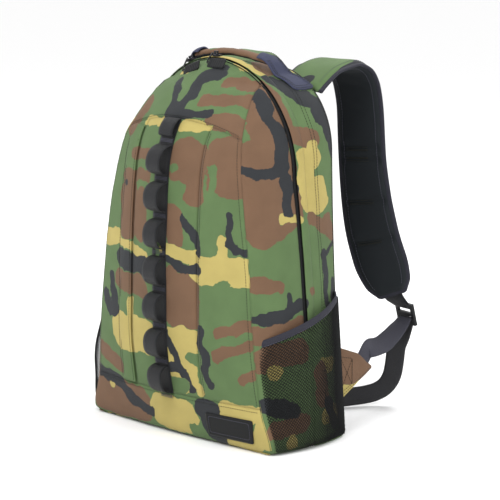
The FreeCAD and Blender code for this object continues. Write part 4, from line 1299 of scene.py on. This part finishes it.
def build_side_pockets():
    """Net pockets with a bound top edge. The left one hangs out."""
    for side, word in SIDES:
        full = LEFT_SLACK if side < 0 else 0.0
        flip = np.array([side, 1, 1])
        net = net_mesh("side_pocket_net_" + word, 38, 34, side, full)
        dressed(net, NET, "bag", ["mesh_pocket_" + word])
        s = np.linspace(0, 0.985, 70)
        top = pocket_wall(s, pocket_height(s, 1.0) + 3.5, full)
        top[:, 0] -= 4.5 * np.clip((s - 0.88) / 0.12, 0, 1) + 3.0 * np.clip((0.06 - s) / 0.06, 0, 1)
        top = top * flip
        low = pocket_wall(s, pocket_height(s, 0.94), full) * flip
        hem = tube("side_pocket_binding_" + word, top, 4.5, 1.3, 16, top - low)
        dressed(hem, BINDING, "bag", ["pocket_binding_" + word])
        row = top + np.array([side * 3.0, 0, -3.2])
        seam = stitches("pocket_binding_stitching_" + word, hem, [row], LIGHT_THREAD, 0.15, (side, 0, 0))
        dressed(seam, None, "bag")


# ---------------------------------------------------------------- handle


def build_handle():
    """The padded grip, bent over the top of the bag, bound underneath, and its two end tabs."""
    angle = np.radians(np.linspace(-GRIP_SPAN, GRIP_SPAN, 80))
    path = np.stack([GRIP_RADIUS * np.sin(angle), 24 + 0 * angle, 219 + GRIP_RADIUS * np.cos(angle)], -1)
    path[:, 1] += 0.6 * np.sin(path[:, 0] / 17)
    end = 1 - np.abs(angle) / np.radians(GRIP_SPAN)
    full = np.clip(0.82 + 0.6 * end, 0, 1)
    side = np.tile([0.0, 1.0, 0.0], (len(path), 1))
    grip = tube("grab_handle_grip", path, 7.6 * full, 4.9 * full, 28, side)
    points = positions(grip) / MM
    creases = wobble(points, 9, 51) * 0.8 + wobble(points, 22, 52) * 0.8
    points += creases[:, None] * np.array([0.2, 0.5, 0.5])
    place(grip, points * MM)
    print_camo(subdivide(grip), "free", 8)
    brown = 6.0 + wobble(positions(grip) / MM, 25, 53) * 12
    for name, values in (("brown", brown), ("khaki", 0 * brown - 10), ("dark", 0 * brown - 10)):
        change(grip, name, values)
    grip.data.materials.append(BINDING)
    for polygon in grip.data.polygons:
        polygon.material_index = 1 if polygon.normal.z < -0.45 else 0
    dressed(grip, None, "handle", ["handle_grip", "handle_core"])
    for side, word in SIDES:
        build_handle_tab(side, word)


def build_handle_tab(side, word):
    """Navy webbing from the end of the grip down to its sewn, rounded foot."""
    stations = [(53, 24, 481.2), (60, 25, 479.4), (68, 29, 472)]
    for along, y in ((77, 36.0), (84, 41.0), (91, 45.0), (98, 47.5), (103, 49.0)):
        w = 1 + math.degrees(math.acos(along / ARCH_RADIUS)) / TAPER_SPAN
        stations.append(tuple(rear_at(np.array([w]), np.array([y]), 2.0)[0]))
    count, lanes = 60, 22
    path = curve_through(stations, count)
    u = np.linspace(0, 1, count)
    drift = 1.5 * u
    half = np.interp(u, [0, 0.25, 0.6, 1], [10.5, 13, 16.5, 18])
    close = np.clip((1 - u) / 0.09, 0, 1)
    half = half * np.clip(1 - (1 - close) ** 2, 0.0, 1) ** 0.3 + 0.3
    v = np.linspace(-1, 1, lanes)
    grid = path[:, None] + np.zeros((count, lanes, 3))
    grid[..., 1] += half[:, None] * v[None] + drift[:, None]
    normal = normals_of(grid)
    normal *= np.sign(normal[30, 10, 2])
    grid[..., 2] -= 5.0 * v[None] ** 2 * np.clip(1 - u * 2.4, 0, 1)[:, None]
    thick = np.full((count, lanes), 1.1)
    thick[:, [0, -1]] = 0.6
    flip = np.array([side, 1, 1])
    tab = pad_mesh("handle_tab_cloth_" + word, grid * flip, normal * flip, thick)
    border = []
    for inset in (2.5, 5.5):
        rows = slice(14, count - int(inset))
        shift = np.stack([0 * u, np.maximum(half - inset, 0), 0 * u], -1)
        middle = path + drift[:, None] * np.array([0, 1, 0])
        loop = np.concatenate([(middle - shift)[rows], (middle + shift)[rows][::-1]])
        border.append(loop * flip + np.array([side * 2, 0, 3]))
    seam = stitches("handle_tab_stitching_" + word, tab, border, THREAD, 0.2, (side * 0.6, 0, 0.8))
    for piece in (tab, seam):
        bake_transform(piece)
    dressed(tab, NAVY_WEB, None, ["handle_tab_" + word])
    dressed(seam, None)


# ---------------------------------------------------------------- shoulder straps


def strap_path():
    """Middle line of the right pad with the directions of its width, its outer face and its length."""
    rows = curve_through(PAD_STATIONS, 150)
    rows = rows[rows[:, 1] > 70.5]
    centre, turn, half = rows[:, :3], np.radians(rows[:, 3]), rows[:, 4]
    tangent = unit(np.gradient(centre, axis=0))
    width = squared(np.stack([np.cos(turn), np.sin(turn), 0 * turn], -1), tangent)
    outer = np.cross(tangent, width)
    outer *= np.sign(outer[60] @ np.array([0, 1.0, 0]))
    return centre, half, tangent, width, outer


def strap_pad(name, centre, half, width, outer):
    """The padded part: camouflage outside, air mesh inside, pressed in along its rows of stitches."""
    lanes = 25
    v = np.linspace(-1, 1, lanes)
    length = distance_along(centre)
    grid = centre[:, None] + width[:, None] * (half[:, None] * v[None])[..., None]
    ends = np.clip(np.minimum(length, length[-1] - length) / 8, 0, 1)
    rim = np.clip((1 - np.abs(v)) * half.mean() / 9, 0, 1)
    thick = 1.6 + 4.4 * np.sqrt(rim)[None] * np.sqrt(ends)[:, None]
    for tack in TACKS:
        thick -= 3.0 * np.exp(-(((length / length[-1] - tack) * 290 / 4.5) ** 2))[:, None] * (rim[None] > 0.3)
    normal = np.repeat(outer[:, None], lanes, axis=1)
    pad = pad_mesh(name, grid, normal, thick)
    pins = np.tile((np.abs(v) > 0.9).astype(float), len(centre))
    pins = np.maximum(pins, np.repeat((ends < 0.5).astype(float), lanes))
    settle(pad, np.concatenate([pins, pins]), 3.0)
    points = positions(pad) / MM
    points += (wobble(points, 26, 61) * 0.8)[:, None] * np.concatenate([normal.reshape(-1, 3)] * 2)
    place(pad, points * MM)
    store(pad, "inner_side", np.repeat([0.0, 1.0], len(points) // 2))
    print_camo(subdivide(pad), "free", 14)
    near_root = np.clip((positions(pad)[:, 2] / MM - 424) / 6, 0, 1) * 45
    for name in ("khaki", "brown"):
        change(pad, name, stored(pad, name) - near_root)
    pad.data.materials.append(AIR_MESH)
    inner = stored(pad, "inner_side")
    for polygon in pad.data.polygons:
        polygon.material_index = 1 if inner[list(polygon.vertices)].mean() > 0.5 else 0
    return pad, grid


def strap_edge(name, grid, tangent, outer):
    """The binding round both sides and the lower end of the pad."""
    low = grid[-1, 1:-1] + tangent[-1] * 0.5
    path = np.concatenate([grid[:, 0], low, grid[:, -1][::-1]])
    out = np.concatenate([outer, np.tile(outer[-1], (len(low), 1)), outer[::-1]])
    return tube(name, path, 4.2, 2.2, 14, np.cross(out, np.gradient(path, axis=0)))


def strap_threads(word, body, centre, half, tangent, width, outer):
    """A row of stitches along each side of both faces, and bar tacks across the inner face."""
    seams, tacks = [], []
    for face in (1, -1):
        for edge in (-1, 1):
            lane = (centre + width * (edge * (half - 6.2))[:, None] + outer * (face * 8))[4:-4]
            seams += stitch_parts(*laid_on(body, evenly(lane, 3.0), 0.2))
    length = distance_along(centre)
    for share in TACKS:
        i = int(np.argmin(np.abs(length / length[-1] - share)))
        across = width[i] * np.linspace(-0.7, 0.35, 30)[:, None] * half[i]
        for shift in (-1.2, 0, 1.2):
            lane = centre[i] + tangent[i] * shift - outer[i] * 9 + across
            tacks.append(tube_mesh(laid_on(body, lane, 0.25)[0], 0.4, sides=5))
    return joined("strap_stitching_" + word, seams), joined("strap_bar_tacks_" + word, tacks)


def build_strap(side, word):
    """A shoulder pad with its binding and stitches, made on the right and mirrored for the left."""
    centre, half, tangent, width, outer = strap_path()
    pad, grid = strap_pad("strap_pad_" + word, centre, half, width, outer)
    edge = strap_edge("strap_edge_" + word, grid, tangent, outer)
    thread, tack = strap_threads(word, tree_of(pad), centre, half, tangent, width, outer)
    cover = ["strap_" + part + word for part in ("cover_", "foam_", "mesh_", "root_")]
    jobs = (
        (pad, None, "camo", cover),
        (edge, BINDING, "binding", ["strap_binding_" + word]),
        (thread, LIGHT_THREAD, "binding", ()),
        (tack, THREAD, "air_mesh", ()),
    )
    for piece, cloth, finish, replaced in jobs:
        if "thread" not in piece.data.attributes:
            store(piece, "thread", positions(piece))
        if side < 0:
            piece = mirror(piece)
        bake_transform(piece)
        dressed(piece, cloth, None, replaced)
    build_strap_webbing(side, word)


def turned(table, count, side):
    """Centres and widths of a webbing table, on either side of the bag."""
    path = curve_through(table, count)
    flip = np.array([side, 1, 1])
    return path[:, :3] * flip, path[:, 3:6] * flip


def build_strap_webbing(side, word):
    """The tongue above the lock, the webbing below it, and the free tail with its folded hem."""
    body = "strap_" + word
    jobs = (
        ("strap_tongue_", TONGUE, WEB, 40),
        ("lower_webbing_", LOWER, GREY_WEB, 90),
        ("webbing_tail_", TAIL, TAIL_WEB, 130),
    )
    for node, table, cloth, count in jobs:
        piece = ribbon(node + "cloth_" + word, *turned(table, count, side), WEB_THICK)
        if node == "lower_webbing_":
            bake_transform(piece)
            dressed(piece, cloth, None, [node + word])
        else:
            dressed(piece, cloth, body, [node + word])
    centres, widths = turned(TAIL, 130, 1)
    centres, widths = centres[-12:], widths[-12:]
    centres = centres + unit(np.cross(widths, np.gradient(centres, axis=0))) * 1.8
    flip = np.array([side, 1, 1])
    hem = ribbon("webbing_tail_hem_" + word, centres * flip, widths * flip, WEB_THICK)
    dressed(hem, TAIL_WEB, body)


def build_wing(side, word):
    """The sewn fin at the lower back corner that holds the strap's webbing."""
    u, v = np.meshgrid(np.linspace(0, 1, 40), np.linspace(0, 1, 30), indexing="ij")
    low = 34 + 39 * u
    high = np.interp(u, [0, 0.62, 1], [112, 96, 75])
    middle = np.stack([side * (137 + 0 * u), 70.5 + 69 * u, low + (high - low) * v], -1)
    rim = np.minimum(np.minimum(v, 1 - v) * (high - low), (1 - u) * 69)
    half = 0.9 + 1.5 * np.sqrt(np.clip(rim / 8, 0, 1))
    middle[..., 0] += 0.8 * wobble(middle, 20, 71)
    wing = subdivide(upright_pad("strap_wing_" + word, middle, 0, half))
    print_camo(wing, "free", 17)
    height = positions(wing)[:, 2] / MM - 60 + 3 * wobble(positions(wing) / MM, 20, 72)
    for name, values in (("brown", height), ("khaki", -height), ("dark", 0 * height - 10)):
        change(wing, name, values)
    dressed(wing, None, "bag", ["wing_" + word])
    corners = ((78, 50), (100, 58), (100, 92), (78, 97), (78, 50), (100, 92), (100, 58), (78, 97))
    box = np.array([(side * 141, y, z) for y, z in corners])
    hem = np.array([(side * 141, 72 + 66 * t, 40 + 35 * t) for t in np.linspace(0, 0.95, 20)])
    seam = stitches("wing_stitching_" + word, wing, [box, hem], THREAD, 0.2, (side, 0, 0))
    dressed(seam, None, "bag")


# ---------------------------------------------------------------- zip pulls


def build_pull(word, degrees, start, forward, drop):
    """A wire bail through the slider, a short cord, and a ridged rubber grip over the front of the zip."""
    angle = math.radians(90 + degrees)
    up = np.array([math.cos(angle), 0, math.sin(angle)])
    along = np.array([-math.sin(angle), 0, math.cos(angle)])
    pivot = np.array([0, 0, ARCH_CENTRE]) + up * 142.9
    turn = np.linspace(0, 2 * math.pi, 26, endpoint=False)
    reach = (1 - np.cos(turn))[:, None]
    ring = pivot + np.array([0, -3.2, 0]) * reach + along * (np.sin(turn) * 3.6)[:, None] - up * 0.9 * reach
    bail = joined("pull_bail_" + word, [tube_mesh(ring, 0.75, sides=8, closed=True)])
    dressed(bail, METAL, "pull_" + word)
    across = np.array([0, -0.55, 0]) - up * 0.84
    face = unit(np.cross(along, across))
    if face[1] > 0:
        face = -face
    root = pivot + along * start + np.array([0, -forward, 0]) - up * drop
    u, v = np.meshgrid(np.linspace(0, 1, 66), np.linspace(-1, 1, 15), indexing="ij")
    corner = np.clip(1 - np.abs(2 * u - 1), 0, 0.12) / 0.12
    wide = 6.6 * (0.6 + 0.4 * np.sqrt(corner))
    middle = root - along * (29 * u)[..., None] + across * (wide * v)[..., None]
    ridge = 0.55 * (np.sin(u * 2 * math.pi * 8) > 0) * (np.abs(v) < 0.72) * (u > 0.18) * (u < 0.95)
    half = 1.0 + ridge
    half[:, [0, -1]] = 0.5
    half[[0, -1], :] = 0.4
    grip = pad_mesh("pull_grip_" + word, middle, np.zeros_like(middle) + face, half)
    dressed(grip, RUBBER, "pull_" + word, ["pull_tab_" + word])
    tip = pivot + along * 2 + np.array([0, -5, 0])
    cord = np.array([tip, (tip + root) / 2 + up * 2.5, root + along * 2 + up * 1.5, root - along * 5])
    loops = []
    for shift in (-1.1, 1.1):
        loops.append(tube_mesh(curve_through(cord, 20) + across * shift, 0.9, sides=8))
    loop = joined("pull_loop_" + word, loops)
    dressed(loop, WEB, "pull_" + word)


# ---------------------------------------------------------------- inside, stitching and hard parts


def inside_pad(name, half_width, y, low, high, half):
    """A thin upright pad: half_width gives its half width at a height."""
    x, z = np.meshgrid(np.linspace(-1, 1, 50), np.linspace(low, high, 60), indexing="ij")
    wide = half_width(z)
    edge = np.minimum((1 - np.abs(x)) * wide, np.minimum(z - low, high - z))
    thick = half * (0.45 + 0.55 * np.sqrt(np.clip(edge / 6.0, 0, 1)))
    return upright_pad(name, np.stack([x * wide, y + 0 * z, z], -1), 1, thick)


def build_inside():
    """The laptop sleeve, and the divider behind the front pocket in two parts."""
    def divider_half(z):
        return side_half(z) - 12

    sleeve = inside_pad("laptop_sleeve_pad", level(124), 52, 6, 296, 1.9)
    low = inside_pad("divider_pad_low", divider_half, -6, 6, 186, 0.9)
    high = inside_pad("divider_pad_high", divider_half, -6, 192, 440, 0.9)
    jobs = (
        (sleeve, "bag", "laptop_sleeve", 0.5),
        (low, "bag", "divider_lower", 0.4),
        (high, "front", "divider_upper", 0.4),
    )
    for pad, body, node, fill in jobs:
        dressed(pad, LINING, body, [node])


def build_seams(panels, band, yoke):
    """The rows of stitching on the shell."""
    z = np.linspace(BAND_TOP + 4, YOKE_SIDE + 8, 90)

    def upright(x_of, inset):
        return face_at(x_of(z) + inset, z) + np.array([0, -2, 0])

    def level_row(share, row_z):
        return face_at(share * station(row_z, 1), row_z) + np.array([0, -2, 0])

    flap = bpy.data.objects["pocket_zip_flap"]
    left_strip = strip_x(-1)
    jobs = (
        ("right_panel_stitching", panels[1], [upright(strip_x(1), 3.4), upright(seam_x(1), -4.0)]),
        ("left_panel_stitching", panels[2], [upright(left_strip, -29.5), upright(seam_x(-1), 4.0)]),
        ("pocket_flap_stitching", flap, [upright(left_strip, inset) for inset in (-23.0, -3.0, -6.0)]),
    )
    for name, piece, rows in jobs:
        fold_over(dressed(stitches(name, piece, rows, THREAD, 0.2, FORWARD), None))
    t = np.linspace(-0.96, 0.96, 120)
    row = level_row(t, yoke_line(t * YOKE_HALF) + 3.6)
    dressed(stitches("yoke_stitching", yoke, [row], THREAD, 0.2, FORWARD), None, "front")
    row = level_row(np.linspace(-0.97, 0.97, 140), np.full(140, BAND_TOP - 3.8))
    dressed(stitches("band_stitching", band, [row], THREAD, 0.2, FORWARD), None, "bag")
    rows = []
    for side in (1, -1):
        w = np.linspace(0.02, 1.7, 170) * side
        rows += [rear_at(w, np.full(len(w), y), 1.5) for y in (28.0, 33.0)]
    w = around(200)
    rows.append(rear_at(w, np.full(len(w), 65.0), 0.5))
    gusset = bpy.data.objects["rear_gusset_cloth"]
    dressed(stitches("rear_gusset_stitching", gusset, rows, THREAD, 0.2), None, "bag")


def paint_hard_parts():
    """The sliders, the locks and the base board keep their CAD shape and get their material here."""
    groups = (
        (("slider_left", "slider_right"), METAL),
        (("ladder_lock_left", "ladder_lock_right"), PLASTIC),
        (("base_board",), BOARD),
    )
    for names, material in groups:
        for name in names:
            node = bpy.data.objects[name]
            for item in [node, *node.children_recursive]:
                if item.type == "MESH":
                    item.data.materials.clear()
                    item.data.materials.append(material)


# ---------------------------------------------------------------- camera, light and floor


def build_stage():
    """A plain pale floor, just under the bag."""
    floor = bpy.data.meshes.new("floor")
    corners = [(x * FLOOR_HALF, y * FLOOR_HALF, -0.0005) for x, y in ((-1, -1), (1, -1), (1, 1), (-1, 1))]
    floor.from_pydata(corners, [], [(0, 1, 2, 3)])
    stage = bpy.data.objects.new("floor", floor)
    bpy.context.scene.collection.objects.link(stage)
    nodes = Nodes("floor_paper")
    floor.materials.append(nodes.surface((0.92, 0.92, 0.92, 1), 0.9))


def towards(azimuth, elevation):
    """Direction from the bag to a place at these angles. Azimuth 0 is in front, and 90 is on the right."""
    a, e = math.radians(azimuth), math.radians(elevation)
    return Vector((math.sin(a) * math.cos(e), -math.cos(a) * math.cos(e), math.sin(e)))


def aim(data, target, direction, distance):
    """Puts a light or a camera at a distance from its target, looking at it."""
    item = bpy.data.objects.new(data.name, data)
    item.location = Vector(target) + direction * distance
    item.rotation_mode = "QUATERNION"
    item.rotation_quaternion = (-direction).to_track_quat("-Z", "Y")
    bpy.context.scene.collection.objects.link(item)
    return item


def add_light(name, azimuth, elevation, distance, size, power):
    """A soft square light."""
    data = bpy.data.lights.new(name, "AREA")
    data.energy = power
    data.size = size
    aim(data, (0, 0, 0.24), towards(azimuth, elevation), distance)


def build_camera():
    """The camera at the photographed angle."""
    data = bpy.data.cameras.new("camera")
    data.lens = 168.5
    data.sensor_width = 36
    bpy.context.scene.camera = aim(data, (0.055, 0, 0.2345), towards(45, 10.5), 2.95)


def build_light():
    """White surroundings and three soft lights."""
    world = bpy.data.worlds.new("sky")
    bpy.context.scene.world = world
    world.use_nodes = True
    background = world.node_tree.nodes["Background"]
    background.inputs["Color"].default_value = (1, 1, 1, 1)
    background.inputs["Strength"].default_value = 1.05
    add_light("key", 15, 48, 2.4, 1.4, 38)
    add_light("fill", 95, 25, 2.4, 1.6, 13)
    add_light("rim", 200, 50, 2.2, 1.2, 22)
    bpy.context.scene.view_settings.view_transform = "Standard"


build_camera()
build_light()
build_stage()
front_pieces = build_front()
build_pocket_flap()
build_front_gussets()
build_rear_gusset()
build_storm_flap()
build_zip()
build_side_strips()
build_base()
build_back()
build_daisy_chain()
build_label()
build_side_pockets()
build_handle()
for side_sign, side_word in SIDES:
    build_strap(side_sign, side_word)
    build_wing(side_sign, side_word)
build_pull("left", 21, -5, 22, 17)
build_pull("right", 2, -3, 17, 11)
build_inside()
build_seams(*front_pieces)
paint_hard_parts()

for item in bpy.context.scene.objects:
    if "cut" in item and "zip_tape" not in item.name:
        declare_sheet(item)
